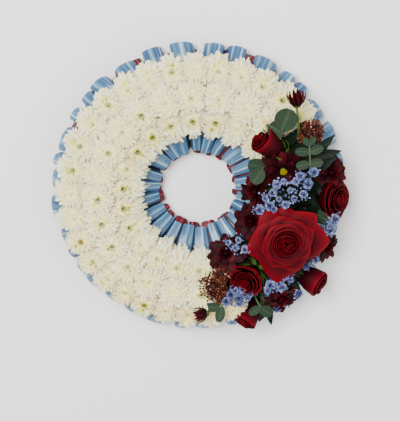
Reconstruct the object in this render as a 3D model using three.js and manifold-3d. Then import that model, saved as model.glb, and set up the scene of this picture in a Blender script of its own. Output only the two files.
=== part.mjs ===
// A massed funeral wreath that lies flat: a foam ring covered with white chrysanthemum heads,
// edged outside and in with pleated ribbon, with a spray of roses on one side.
// Millimetres, +Z up. While the model is made, the ring's axis is the Z axis and its
// underside is at Z = 0. Angles are in degrees, counter-clockwise from +X.
import * as THREE from 'three';
import { mergeVertices } from 'three/addons/utils/BufferGeometryUtils.js';
import Module from 'manifold-3d';

// Foam ring
const foamInnerRadius = 85;
const foamOuterRadius = 150;
const foamHeight = 50;
const foamBevelWidth = 16;
const foamBevelDrop = 18;
const foamSides = 32;

// Bands of the foam: its two crests, where the bevels start, and the crown between them
const innerCrest = foamInnerRadius + foamBevelWidth;
const outerCrest = foamOuterRadius - foamBevelWidth;
const crownRadius = (foamInnerRadius + foamOuterRadius) / 2;

// Fit between pieces that touch, and overlap of pieces that are joined
const touchGap = 0.3;
const joinOverlap = 0.3;
// Room over the inner bevel, whose flat facets stand inside its round form
const facetGap = 2.2;
// Neighbours that stand closer than this beyond their reaches share the space between them, and
// neither gets less than the nearest share of it
const neighbourRange = 24;
const nearestShare = 0.15;

// White chrysanthemum heads
const headHeight = 14;
const headSpread = 20;
const sideSpread = 22;
const freeSpreadInner = 31;
const freeSpreadOuter = 28;
const headSides = 9;
const eyeDip = 2;
const headFloor = foamHeight - 14.5;
const domeCurve = 2.5;
const headRings = [30, 64, 92];

// Three rows of heads. An offset is from the row's band of the foam, a rise is above its top, and
// a row runs from its first place to its last of count places on the whole circle.
const innerRow = { count: 22, offset: -5, rise: 4, tilt: -25, phase: 59.5, first: -1, last: 13 };
const middleRow = { count: 24, offset: 2, rise: 14, tilt: 0, phase: 47, first: 0, last: 15 };
const outerRow = { count: 33, offset: 12, rise: 0, tilt: 32, phase: 37, first: 0, last: 23 };
const headsPerInnerArc = 3;
const headsPerOuterArc = 5;

// How far a head strays from its even place: as a share of a place, in radius, height and tilt
const placeWander = 0.12;
const radiusWander = 1.2;
const heightWander = 0.8;
const tiltWander = 4;

// Pleated ribbons
const ribbonThickness = 1.2;
const outerPleats = 36;
const claretPleats = 28;
const innerPleats = 20;
const blueReachOuter = 32.5;
const blueReachInner = 36.5;
const claretReachOuter = 31;
const claretReachInner = 38;
const blueTopOuter = foamHeight - 19;
const blueTopInner = foamHeight - 17;
const blueFall = 15;
const claretBelowBlue = 6.5;
const claretDroop = 1;
const ribbonGap = 0.4;
const pleatHeight = 3.6;
const claretPleatHeight = 1.6;
const pleatNotch = 4;
const pinnedPleatShare = 0.25;

// The spray's flowers and sprigs
const calyxDepth = 30;
const calyxCurve = 0.95;
const leafThickness = 0.8;
const leafCup = 0.06;
const stemSides = 4;
const stemRadius = 1.5;
const branchSides = 3;
const branchRadius = 0.9;
const floretRadius = 7.5;
const rootRise = 0.7;
const sprigTilt = 80;

const wasm = await Module();
wasm.setup();

const group = new THREE.Group();
const up = new THREE.Vector3(0, 0, 1);

function degrees(angle) {
  return THREE.MathUtils.degToRad(angle);
}

function outward(angle) {
  return new THREE.Vector3(Math.cos(degrees(angle)), Math.sin(degrees(angle)), 0);
}

function onRing(radius, angle, height) {
  return outward(angle).multiplyScalar(radius).setZ(height);
}

function leaning(angle, tilt) {
  return outward(angle).multiplyScalar(Math.sin(degrees(tilt))).setZ(Math.cos(degrees(tilt)));
}

// A repeatable small irregularity between -1 and 1
function wobble(number) {
  return Math.sin(number * 12.9898 + 4.1);
}

// Closed bodies and joins

function meshGeometry(points, triangles) {
  const geometry = new THREE.BufferGeometry();
  geometry.setAttribute('position', new THREE.Float32BufferAttribute(points.flat(), 3));
  geometry.setIndex(triangles.flat());
  return geometry;
}

function toSolid(geometry) {
  const bare = geometry.clone();
  bare.deleteAttribute('normal');
  bare.deleteAttribute('uv');
  const merged = mergeVertices(bare, 1e-4);
  const vertProperties = new Float32Array(merged.attributes.position.array);
  const triVerts = new Uint32Array(merged.index.array);
  return new wasm.Manifold(new wasm.Mesh({ numProp: 3, vertProperties, triVerts }));
}

function fromSolid(solid) {
  const mesh = solid.getMesh();
  const geometry = new THREE.BufferGeometry();
  geometry.setAttribute('position', new THREE.BufferAttribute(new Float32Array(mesh.vertProperties), 3));
  geometry.setIndex(new THREE.BufferAttribute(new Uint32Array(mesh.triVerts), 1));
  return geometry;
}

function join(solids) {
  return solids.reduce((whole, solid) => whole.add(solid));
}

function addPiece(name, shape, look) {
  const geometry = shape.isBufferGeometry ? shape : fromSolid(shape);
  geometry.computeVertexNormals();
  const mesh = new THREE.Mesh(geometry, new THREE.MeshStandardMaterial(look));
  mesh.name = name;
  group.add(mesh);
}

const looks = {
  foam: { color: 0x2f4a2c, roughness: 0.95, metalness: 0 },
  white: { color: 0xe8e2d6, roughness: 0.8, metalness: 0 },
  blue: { color: 0x8fb8d8, roughness: 0.35, metalness: 0 },
  claret: { color: 0x821e37, roughness: 0.35, metalness: 0 },
  red: { color: 0x960f14, roughness: 0.7, metalness: 0 },
  burgundy: { color: 0x500a19, roughness: 0.8, metalness: 0 },
  brown: { color: 0x6e3728, roughness: 0.8, metalness: 0 },
  violet: { color: 0x8291cd, roughness: 0.9, metalness: 0 },
  grey_green: { color: 0x4b6e4b, roughness: 0.6, metalness: 0 },
  dark_green: { color: 0x0f2814, roughness: 0.6, metalness: 0 },
};

// A star-shaped body: every point is seen from its centre. Rings of points run from the top
// pole to the bottom pole, each ring turned half a step from the last, and any point that would
// pass a limit plane is drawn back to it. A limit is a point and the direction it faces.
function starBody(centre, axis, sides, ringAngles, radiusAt, limits) {
  const front = Math.abs(axis.z) > 0.99 ? new THREE.Vector3(1, 0, 0) : up.clone();
  const across = new THREE.Vector3().crossVectors(front, axis).normalize();
  const along = new THREE.Vector3().crossVectors(across, axis);
  function pointAt(polar, turn, ring) {
    const direction = axis.clone().multiplyScalar(Math.cos(polar));
    direction.addScaledVector(along, Math.sin(polar) * Math.cos(turn));
    direction.addScaledVector(across, Math.sin(polar) * Math.sin(turn));
    let reach = radiusAt(polar, turn, ring, direction);
    for (const limit of limits) {
      const rate = limit.facing.dot(direction);
      const room = limit.facing.dot(limit.point.clone().sub(centre));
      if (rate > 1e-9) {
        reach = Math.min(reach, room / rate);
      }
    }
    return direction.multiplyScalar(reach).add(centre).toArray();
  }
  const points = [pointAt(0, 0, -1)];
  ringAngles.forEach((angle, ring) => {
    for (let side = 0; side < sides; side += 1) {
      const turn = ((side + (ring % 2) / 2) / sides) * 2 * Math.PI;
      points.push(pointAt(degrees(angle), turn, ring));
    }
  });
  points.push(pointAt(Math.PI, 0, ringAngles.length));
  const triangles = [];
  const last = points.length - 1;
  for (let side = 0; side < sides; side += 1) {
    const next = (side + 1) % sides;
    triangles.push([0, 1 + side, 1 + next]);
    triangles.push([last, last - sides + next, last - sides + side]);
  }
  for (let ring = 0; ring + 1 < ringAngles.length; ring += 1) {
    const start = 1 + ring * sides;
    const below = start + sides;
    for (let side = 0; side < sides; side += 1) {
      const next = (side + 1) % sides;
      if (ring % 2 === 0) {
        triangles.push([start + side, below + side, start + next]);
        triangles.push([start + next, below + side, below + next]);
      } else {
        triangles.push([start + side, below + side, below + next]);
        triangles.push([start + side, below + next, start + next]);
      }
    }
  }
  return meshGeometry(points, triangles);
}

// The plane halfway between two centres, shared by their reaches, moved by half the gap.
function planeBetween(here, there, gap) {
  const across = there.centre.clone().sub(here.centre);
  const distance = across.length();
  const share = 0.5 + (here.reach ** 2 - there.reach ** 2) / (2 * distance ** 2);
  const facing = across.clone().normalize();
  const held = THREE.MathUtils.clamp(share, nearestShare, 1 - nearestShare) * distance - gap / 2;
  return { point: here.centre.clone().addScaledVector(facing, held), facing };
}

// The foam's skin under a piece: the flat top or one of its two bevels.
const bevelSlope = Math.atan2(foamBevelDrop, foamBevelWidth);

function foamLimit(zone, angle, clearance) {
  if (zone === 'top') {
    return { point: new THREE.Vector3(0, 0, foamHeight + clearance), facing: up.clone().negate() };
  }
  const side = zone === 'outer' ? 1 : -1;
  const crest = zone === 'outer' ? outerCrest : innerCrest;
  const away = outward(angle).multiplyScalar(side * Math.sin(bevelSlope)).setZ(Math.cos(bevelSlope));
  const point = onRing(crest, angle, foamHeight).addScaledVector(away, clearance);
  return { point, facing: away.negate() };
}

// Foam ring

function foamRing() {
  const profile = [
    [foamInnerRadius, 0],
    [foamOuterRadius, 0],
    [foamOuterRadius, foamHeight - foamBevelDrop],
    [outerCrest, foamHeight],
    [innerCrest, foamHeight],
    [foamInnerRadius, foamHeight - foamBevelDrop],
    [foamInnerRadius, 0],
  ];
  const lathe = new THREE.LatheGeometry(profile.map(([x, y]) => new THREE.Vector2(x, y)), foamSides);
  lathe.rotateX(Math.PI / 2);
  return toSolid(lathe);
}

addPiece('foam_ring', foamRing(), looks.foam);

// Pleated ribbons: a skirt of pleats that is pinned to the foam's side at one edge and stands
// free at the other. In each pleat one step lies low and the others stand raised.
function pleatedRibbon(options) {
  const { pinnedRadius, freeRadius, pinnedTop, freeTop, pleats, steps, height, notch } = options;
  const columns = pleats * steps;
  const outwards = Math.sign(freeRadius - pinnedRadius);
  const points = [];
  for (let column = 0; column < columns; column += 1) {
    const angle = ((column + 0.5) / columns) * 360;
    const raised = column % steps !== 0;
    const lift = raised ? height : -height;
    const tip = freeRadius - (raised ? 0 : outwards * notch);
    const pinned = onRing(pinnedRadius, angle, pinnedTop + lift * pinnedPleatShare);
    const free = onRing(tip, angle, freeTop + lift);
    const drop = new THREE.Vector3(0, 0, -ribbonThickness);
    const corners = [pinned, free, free.clone().add(drop), pinned.clone().add(drop)];
    points.push(...corners.map((corner) => corner.toArray()));
  }
  const triangles = [];
  for (let column = 0; column < columns; column += 1) {
    const here = column * 4;
    const there = ((column + 1) % columns) * 4;
    for (let corner = 0; corner < 4; corner += 1) {
      const next = (corner + 1) % 4;
      const quad = [here + corner, here + next, there + next, there + corner];
      if (outwards < 0) {
        quad.reverse();
      }
      triangles.push([quad[0], quad[1], quad[2]], [quad[0], quad[2], quad[3]]);
    }
  }
  return meshGeometry(points, triangles);
}

const outerWall = foamOuterRadius + ribbonGap;
const innerWall = foamInnerRadius * Math.cos(Math.PI / foamSides) - ribbonGap;

addPiece('outer_blue_ribbon', pleatedRibbon({
  pinnedRadius: outerWall,
  freeRadius: outerWall + blueReachOuter,
  pinnedTop: blueTopOuter,
  freeTop: blueTopOuter - blueFall,
  pleats: outerPleats,
  steps: 3,
  height: pleatHeight,
  notch: pleatNotch,
}), looks.blue);

addPiece('outer_claret_ribbon', pleatedRibbon({
  pinnedRadius: outerWall,
  freeRadius: outerWall + claretReachOuter,
  pinnedTop: blueTopOuter - claretBelowBlue,
  freeTop: blueTopOuter - blueFall - claretBelowBlue - claretDroop,
  pleats: claretPleats,
  steps: 2,
  height: claretPleatHeight,
  notch: 0,
}), looks.claret);

addPiece('inner_blue_ribbon', pleatedRibbon({
  pinnedRadius: innerWall,
  freeRadius: innerWall - blueReachInner,
  pinnedTop: blueTopInner,
  freeTop: blueTopInner - blueFall,
  pleats: innerPleats,
  steps: 3,
  height: pleatHeight,
  notch: pleatNotch,
}), looks.blue);

addPiece('inner_claret_ribbon', pleatedRibbon({
  pinnedRadius: innerWall,
  freeRadius: innerWall - claretReachInner,
  pinnedTop: blueTopInner - claretBelowBlue,
  freeTop: blueTopInner - blueFall - claretBelowBlue - claretDroop,
  pleats: innerPleats,
  steps: 2,
  height: claretPleatHeight,
  notch: 0,
}), looks.claret);

// White chrysanthemum heads in three rows

function rowHeads(row, zone, band) {
  const heads = [];
  for (let place = row.first; place <= row.last; place += 1) {
    const seed = place + row.count * 7;
    const angle = row.phase + ((place + placeWander * wobble(seed)) / row.count) * 360;
    const radius = band + row.offset + radiusWander * wobble(seed + 3);
    const rise = row.rise + heightWander * wobble(seed + 5);
    const centre = onRing(radius, angle, foamHeight + rise);
    const axis = leaning(angle, row.tilt + tiltWander * wobble(seed + 9));
    const height = headHeight + wobble(seed + 13);
    heads.push({ centre, axis, angle, zone, reach: headSpread, height });
  }
  return heads;
}

const innerHeads = rowHeads(innerRow, 'inner', innerCrest);
const middleHeads = rowHeads(middleRow, 'top', crownRadius);
const outerHeads = rowHeads(outerRow, 'outer', outerCrest);
const whiteHeads = [...innerHeads, ...middleHeads, ...outerHeads];

// The spray's flowers. Each has a place on the ring, a rise of its centre above the foam's top,
// an aim that it leans towards, a spread across its petals, a height above its centre and a
// reach that settles how far it pushes its neighbours back. A petal tip is an angle and a share
// of the spread.
const sprayFlowers = {
  large_rose: {
    kind: 'rose', radius: crownRadius - 3, angle: -25, rise: 28, aim: -60, tilt: 5,
    spread: 41, height: 25, reach: 42, zone: 'top', sides: 15, folds: 4,
    petalTips: [[129, 1.05], [92, 1.02], [43, 1.12], [-4, 1.25], [-100, 1.25], [-163, 1.1]],
  },
  rose_upper_left: {
    kind: 'bud_rose', radius: crownRadius - 11, angle: 37, rise: 27, aim: 142, tilt: 70,
    spread: 19, height: 22, reach: 17, zone: 'top', sides: 9,
  },
  rose_right: {
    kind: 'rose', radius: foamOuterRadius + 8, angle: -1.5, rise: 3, aim: 2, tilt: 48,
    spread: 27, height: 20, reach: 26, zone: 'outer', sides: 10, folds: 2,
  },
  rose_lower_left: {
    kind: 'rose', radius: crownRadius - 1.5, angle: -58, rise: 20, aim: 215, tilt: 30,
    spread: 23, height: 18, reach: 22, zone: 'top', sides: 10, folds: 2,
  },
  rose_lower_right: {
    kind: 'bud_rose', radius: foamOuterRadius + 22, angle: -38, rise: -5, aim: -27, tilt: 62,
    spread: 18, height: 24, reach: 17, zone: 'outer', sides: 9,
  },
  rose_bottom: {
    kind: 'bud_rose', radius: foamOuterRadius + 13, angle: -66, rise: -5, aim: -124, tilt: 62,
    spread: 16, height: 24, reach: 16, zone: 'outer', sides: 9,
  },
  burgundy_daisy_1: {
    kind: 'daisy', radius: crownRadius - 11, angle: 19, rise: 27, aim: -80, tilt: 22,
    spread: 28, height: 7, reach: 24, zone: 'top', sides: 14,
  },
  burgundy_daisy_2: {
    kind: 'daisy', radius: foamInnerRadius - 16, angle: 5, rise: 12, aim: 190, tilt: 35,
    spread: 22, height: 7, reach: 17, zone: 'inner', sides: 14,
  },
  burgundy_daisy_3: {
    kind: 'daisy', radius: foamInnerRadius - 14, angle: -25, rise: 14, aim: 160, tilt: 35,
    spread: 27, height: 7, reach: 19, zone: 'inner', sides: 14,
  },
  burgundy_daisy_4: {
    kind: 'daisy', radius: foamInnerRadius - 7, angle: -64, rise: 16, aim: 130, tilt: 30,
    spread: 25, height: 7, reach: 20, zone: 'inner', sides: 14,
  },
  burgundy_daisy_5: {
    kind: 'daisy', radius: foamOuterRadius + 15, angle: -52, rise: 6, aim: -52, tilt: 35,
    spread: 24, height: 7, reach: 19, zone: 'outer', sides: 14,
  },
  burgundy_daisy_6: {
    kind: 'daisy', radius: foamOuterRadius + 18, angle: -22.5, rise: 2, aim: -20, tilt: 40,
    spread: 22, height: 7, reach: 19, zone: 'outer', sides: 14,
  },
  burgundy_daisy_7: {
    kind: 'daisy', radius: foamOuterRadius + 12, angle: 10, rise: 8, aim: 40, tilt: 30,
    spread: 24, height: 7, reach: 20, zone: 'outer', sides: 14,
  },
  skimmia_top: {
    kind: 'cluster', radius: foamOuterRadius + 3.5, angle: 30.5, rise: 16, aim: 40, tilt: 12,
    spread: 16, height: 15, reach: 15, zone: 'outer', sides: 8,
  },
  skimmia_lower_left: {
    kind: 'cluster', radius: crownRadius - 3, angle: -81, rise: 14, aim: 230, tilt: 10,
    spread: 19, height: 14, reach: 16, zone: 'top', sides: 8,
  },
};

const sprayHeads = Object.entries(sprayFlowers).map(([name, flower]) => ({
  ...flower,
  name,
  centre: onRing(flower.radius, flower.angle, foamHeight + flower.rise),
  axis: leaning(flower.aim, flower.tilt),
}));
const everyHead = [...whiteHeads, ...sprayHeads];

function neighbourLimits(head, joined) {
  const limits = [];
  for (const other of everyHead) {
    const distance = other.centre.distanceTo(head.centre);
    if (other !== head && distance < head.reach + other.reach + neighbourRange) {
      const gap = joined.includes(other) ? -joinOverlap * 2 : touchGap;
      limits.push(planeBetween(head, other, gap));
    }
  }
  return limits;
}

const lowest = { point: new THREE.Vector3(0, 0, headFloor), facing: up.clone().negate() };

// Everything that a flower may not pass: its neighbours, the foam and the lowest level of petals
function limitsOf(flower, joined) {
  const clearance = flower.zone === 'inner' ? facetGap : touchGap;
  const foam = foamLimit(flower.zone, flower.angle, clearance);
  return [...neighbourLimits(flower, joined), foam, lowest];
}

// A white head: a dome of petals that is long on its free side and pressed flat on the others.
function whiteHead(head, joined) {
  const freeSide = head.zone === 'outer' ? 1 : -1;
  const freeSpreads = { inner: freeSpreadInner, outer: freeSpreadOuter, top: headSpread };
  const away = outward(head.angle).multiplyScalar(freeSide);
  function radiusAt(polar, turn, ring, direction) {
    const freely = Math.max(0, direction.clone().setZ(0).dot(away));
    const spread = THREE.MathUtils.lerp(sideSpread, freeSpreads[head.zone], freely);
    const sideways = (Math.sin(polar) / spread) ** domeCurve;
    const upright = (Math.abs(Math.cos(polar)) / head.height) ** domeCurve;
    return (sideways + upright) ** (-1 / domeCurve) - (polar === 0 ? eyeDip : 0);
  }
  const limits = limitsOf(head, joined);
  return toSolid(starBody(head.centre, head.axis, headSides, headRings, radiusAt, limits));
}

// The spray's flowers: petals above the centre, and below it a calyx that narrows to the foam.
function flowerBody(flower, ringAngles, petalFactor, curve) {
  const limits = limitsOf(flower, []);
  const depth = flower.rise + calyxDepth;
  function radiusAt(polar, turn, ring) {
    const spread = flower.spread * petalFactor(polar, turn, ring);
    const above = polar <= Math.PI / 2;
    const power = above ? curve : calyxCurve;
    const sideways = (Math.sin(polar) / spread) ** power;
    const upright = (Math.abs(Math.cos(polar)) / (above ? flower.height : depth)) ** power;
    return (sideways + upright) ** (-1 / power);
  }
  return starBody(flower.centre, flower.axis, flower.sides, ringAngles, radiusAt, limits);
}

// Ring angles of a rose's folds: a groove and then a raised petal edge in each fold
function foldAngles(folds) {
  const angles = [];
  for (let fold = 0; fold < folds; fold += 1) {
    const edge = 84 * ((fold + 1) / folds) ** 0.9;
    angles.push(edge - 26 / folds, edge);
  }
  return [...angles, 104];
}

// The outline of an open rose is straight between the tips of its outer petals.
function tipFactor(flower, turn) {
  const heading = degrees(flower.aim) + turn;
  const tips = flower.petalTips.map(([angle, share]) => outward(angle).multiplyScalar(share));
  let reach = Infinity;
  tips.forEach((tip, place) => {
    const edge = tips[(place + 1) % tips.length].clone().sub(tip);
    const facing = new THREE.Vector3(-edge.y, edge.x, 0).normalize();
    const rate = facing.x * Math.cos(heading) + facing.y * Math.sin(heading);
    if (rate > 1e-6) {
      reach = Math.min(reach, facing.dot(tip) / rate);
    }
  });
  return reach;
}

const flowerMakers = {
  // An open rose: wide outer petals round a spiral of folds
  rose(flower) {
    function petalFactor(polar, turn, ring) {
      const groove = ring % 2 === 0 && ring < 2 * flower.folds ? 0.9 : 1;
      const lobes = flower.petalTips ? tipFactor(flower, turn) : 1 + 0.05 * Math.cos(5 * turn);
      const outline = THREE.MathUtils.lerp(1, lobes, Math.min(1, polar / 1.3));
      return groove * outline + 0.02 * Math.sin(turn + 5 * polar);
    }
    return flowerBody(flower, foldAngles(flower.folds), petalFactor, 2.3);
  },
  // A half-open rose: a long bud with wrapped petals
  bud_rose(flower) {
    function petalFactor(polar, turn) {
      const fold = polar + turn / Math.PI;
      return 1 + 0.14 * (fold - Math.floor(fold)) - 0.07;
    }
    return flowerBody(flower, [18, 42, 68, 96], petalFactor, 2.6);
  },
  // A daisy-like chrysanthemum: a low disc inside a wheel of petals
  daisy(flower) {
    function petalFactor(polar, turn) {
      const notch = polar < 1.2 ? 0 : 0.17 * (1 - Math.cos((turn * flower.sides) / 2));
      return 1 - notch;
    }
    return flowerBody(flower, [50, 78, 86], petalFactor, 1.5);
  },
  // A cluster of small buds
  cluster(flower) {
    function petalFactor(polar, turn) {
      return 1 + 0.09 * Math.cos((turn * flower.sides) / 2 + 7 * polar);
    }
    return flowerBody(flower, [28, 56, 84, 108], petalFactor, 2.2);
  },
};

const flowerLooks = {
  rose: looks.red,
  bud_rose: looks.red,
  daisy: looks.burgundy,
  cluster: looks.brown,
};

// Stems and leaves of the sprigs. A sprig is made a second time, a little fuller, to cut the way
// of its stem and leaves through the flower heads around it.
function stem(points, radius, sides) {
  const corners = [];
  for (let side = 0; side < sides; side += 1) {
    const turn = (side / sides) * 2 * Math.PI;
    corners.push(new THREE.Vector2(radius * Math.cos(turn), radius * Math.sin(turn)));
  }
  const curved = points.length > 2;
  const path = curved ? new THREE.CatmullRomCurve3(points) : new THREE.LineCurve3(...points);
  const settings = { steps: curved ? points.length : 1, extrudePath: path, curveSegments: 1 };
  return toSolid(new THREE.ExtrudeGeometry(new THREE.Shape(corners), settings));
}

// Outlines of leaves: a share of the length, and a share of half the width to either side
const pointedBlade = [
  [0, 0.1], [0.3, 0.8], [0.55, 0.9], [1, 0], [0.55, -0.9], [0.3, -0.8], [0, -0.1],
];
const roundBlade = [
  [0, 0.15], [0.2, 0.75], [0.55, 1], [0.9, 0.6], [1, 0],
  [0.9, -0.6], [0.55, -1], [0.2, -0.75], [0, -0.15],
];

// A leaf is a thin lens over its outline, from its base forwards.
function leaf(base, along, facing, length, width, pointed, thickness) {
  const forward = along.clone().normalize();
  const sideways = new THREE.Vector3().crossVectors(facing, forward).normalize();
  const normal = new THREE.Vector3().crossVectors(forward, sideways);
  const blade = pointed ? pointedBlade : roundBlade;
  const place = (run, side, lift) => base.clone()
    .addScaledVector(forward, run * length)
    .addScaledVector(sideways, (side * width) / 2)
    .addScaledVector(normal, lift)
    .toArray();
  const points = blade.map(([run, side]) => place(run, side, leafCup * Math.abs(side) * width));
  points.push(place(0.5, 0, thickness), place(0.5, 0, -thickness));
  const triangles = [];
  blade.forEach((corner, here) => {
    const next = (here + 1) % blade.length;
    triangles.push([blade.length, next, here], [blade.length + 1, here, next]);
  });
  return toSolid(meshGeometry(points, triangles));
}

// A sprig: a stem from the foam up to its tip, and leaves that start on it.
function sprig(spec, grow) {
  const pointOf = ([offset, angle, rise]) => onRing(spec.band + offset, angle, foamHeight + rise);
  const path = spec.stem.map(pointOf);
  const parts = [stem(path, stemRadius + grow, stemSides)];
  for (const blade of spec.leaves ?? []) {
    const base = pointOf(blade.from);
    const along = leaning(blade.aim, blade.tilt ?? sprigTilt);
    const back = base.clone().addScaledVector(along, -grow);
    const length = blade.length + 2 * grow;
    const width = blade.width + 2 * grow;
    const thickness = leafThickness + grow;
    parts.push(leaf(back, along, up, length, width, spec.pointed, thickness));
  }
  for (const floret of spec.florets ?? []) {
    const tip = pointOf(floret);
    const head = new THREE.OctahedronGeometry(floretRadius + grow, 0);
    head.rotateX(0.4 + floret[1]);
    head.translate(tip.x, tip.y, tip.z);
    parts.push(toSolid(head), stem([path.at(-1), tip], branchRadius + grow, branchSides));
  }
  if (spec.bud) {
    const tip = path.at(-1);
    const along = leaning(spec.bud.aim, spec.bud.tilt);
    const radiusAt = (polar, turn) => {
      const tooth = polar < 0.9 ? 0.82 + 0.18 * Math.cos(turn * 5) : 1;
      return tooth * (spec.bud.length + grow) / (1 + 2.2 * Math.sin(polar) ** 2) + grow;
    };
    const centre = tip.clone().addScaledVector(along, spec.bud.length * 0.3);
    parts.push(toSolid(starBody(centre, along, 8, [34, 78, 140], radiusAt, [])));
  }
  return join(parts);
}

// The sprigs. A point is an offset from the sprig's band of the foam, an angle and a rise above
// the foam's top.
const sprigs = {
  burgundy_bud_top: {
    look: looks.burgundy,
    band: outerCrest,
    stem: [[3, 31.5, rootRise], [5, 32, 18], [13, 37, 34], [26, 44.5, 40]],
    bud: { aim: 95, tilt: 75, length: 17 },
  },
  burgundy_bud_lower_left: {
    look: looks.burgundy,
    band: outerCrest,
    stem: [[-1, -76, rootRise], [3, -78, 12], [9, -85, 22]],
    bud: { aim: 190, tilt: 82, length: 16 },
  },
  eucalyptus_top: {
    look: looks.grey_green,
    band: outerCrest,
    stem: [[-7, 34.5, rootRise], [-8, 36, 22], [-5, 41, 36]],
    leaves: [
      { from: [-5, 41, 36], aim: 70, length: 27, width: 27 },
      { from: [-6.5, 38.5, 31], aim: 150, length: 20, width: 24 },
    ],
  },
  eucalyptus_sprig: {
    look: looks.grey_green,
    band: outerCrest,
    stem: [[-1, 8, rootRise], [1, 10, 26], [4, 18, 38], [12, 27.5, 42]],
    leaves: [
      { from: [4, 19, 38.5], aim: 10, length: 16, width: 11 },
      { from: [4, 19, 38.5], aim: 190, length: 16, width: 11 },
      { from: [8.5, 24.5, 41], aim: 20, length: 17, width: 11 },
      { from: [8.5, 24.5, 41], aim: 175, length: 17, width: 11 },
    ],
  },
  eucalyptus_left: {
    look: looks.grey_green,
    band: innerCrest,
    stem: [[3, 28, rootRise], [-9, 27, 20], [-17, 26, 30]],
    leaves: [
      { from: [-15, 26.3, 27.5], aim: 165, length: 19, width: 18 },
      { from: [-17, 26, 30], aim: 235, length: 20, width: 18 },
    ],
  },
  eucalyptus_lower_left: {
    look: looks.grey_green,
    band: outerCrest,
    stem: [[-6, -72, rootRise], [-2, -74, 20], [4, -79, 25]],
    leaves: [
      { from: [4, -79, 25], aim: 175, length: 18, width: 12 },
      { from: [3, -78, 24.2], aim: 260, length: 20, width: 12 },
    ],
  },
  eucalyptus_bottom: {
    look: looks.grey_green,
    band: outerCrest,
    stem: [[5, -61, 8], [16, -61, 16], [24, -61, 14]],
    leaves: [
      { from: [24, -61, 14], aim: -40, tilt: 95, length: 19, width: 15 },
      { from: [23, -61, 14.5], aim: -140, tilt: 95, length: 17, width: 11 },
    ],
  },
  gypsophila_upper: {
    look: looks.violet,
    band: crownRadius,
    stem: [[-5.5, 2, rootRise], [-9.5, 4, 40]],
    florets: [[-23.5, 13, 42], [-21.5, 2, 43], [-0.5, 12, 43], [6.5, 4, 40]],
  },
  gypsophila_right: {
    look: looks.violet,
    band: outerCrest,
    stem: [[6, -13, 3], [23, -12, 22]],
    florets: [[27, -12, 24], [23, -16, 26]],
  },
  gypsophila_below: {
    look: looks.violet,
    band: outerCrest,
    stem: [[3, -47, rootRise], [8, -47, 26]],
    florets: [[9, -48, 29], [6, -43, 30], [7, -53, 29]],
  },
  gypsophila_lower_left: {
    look: looks.violet,
    band: outerCrest,
    stem: [[-6, -66, rootRise], [-3, -67, 22]],
    florets: [[-2, -68, 25], [3, -64, 25], [-8, -71, 26]],
  },
  dark_leaves_top: {
    look: looks.dark_green,
    pointed: true,
    band: outerCrest,
    stem: [[-3, 21, rootRise], [4, 21, 16], [12, 21, 23]],
    leaves: [
      { from: [11, 21, 22.5], aim: 45, length: 36, width: 11 },
      { from: [11, 21, 22.5], aim: 12, length: 34, width: 11 },
      { from: [11, 21, 22.5], aim: 100, length: 24, width: 10 },
    ],
  },
  dark_leaves_bottom: {
    look: looks.dark_green,
    pointed: true,
    band: outerCrest,
    stem: [[7, -56.5, 6], [18, -57.5, 6], [28, -58, 2]],
    leaves: [
      { from: [28, -58, 2], aim: -80, tilt: 96, length: 32, width: 9 },
      { from: [26, -57.9, 2.8], aim: -110, tilt: 96, length: 28, width: 12 },
    ],
  },
};

const sprigCutters = Object.values(sprigs).map((spec) => sprig(spec, touchGap));

function overlapsBox(a, b) {
  const [boxA, boxB] = [a.boundingBox(), b.boundingBox()];
  return [0, 1, 2].every((axis) => boxA.min[axis] < boxB.max[axis] && boxB.min[axis] < boxA.max[axis]);
}

function clearOfSprigs(solid) {
  return sprigCutters.filter((cutter) => overlapsBox(solid, cutter))
    .reduce((rest, cutter) => rest.subtract(cutter), solid);
}

function addHeadArcs(heads, perArc, name) {
  for (let start = 0, arc = 1; start < heads.length; start += perArc, arc += 1) {
    const members = heads.slice(start, start + perArc);
    const solids = members.map((head) => whiteHead(head, members));
    addPiece(`${name}_${arc}`, clearOfSprigs(join(solids)), looks.white);
  }
}

addHeadArcs(innerHeads, headsPerInnerArc, 'inner_white_heads');
middleHeads.forEach((head, place) => {
  addPiece(`white_chrysanthemum_${place + 1}`, clearOfSprigs(whiteHead(head, [])), looks.white);
});
addHeadArcs(outerHeads, headsPerOuterArc, 'outer_white_heads');
for (const flower of sprayHeads) {
  const body = toSolid(flowerMakers[flower.kind](flower));
  addPiece(flower.name, clearOfSprigs(body), flowerLooks[flower.kind]);
}
for (const [name, spec] of Object.entries(sprigs)) {
  addPiece(name, sprig(spec, 0), spec.look);
}

// The finished wreath stands on the ground plane, centred on the origin
const box = new THREE.Box3().setFromObject(group);
const middle = box.getCenter(new THREE.Vector3());
group.position.set(-middle.x, -middle.y, -box.min.z);

export default group;
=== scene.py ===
"""A massed funeral wreath: petals, ribbon, leaves and finishes over its plain solids.

Lengths are metres in the row frame. The ring's axis stands at the middle of foam_ring.
"""
import math
import bpy
import numpy as np
from mathutils import Matrix, Vector
from mathutils.bvhtree import BVHTree


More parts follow.
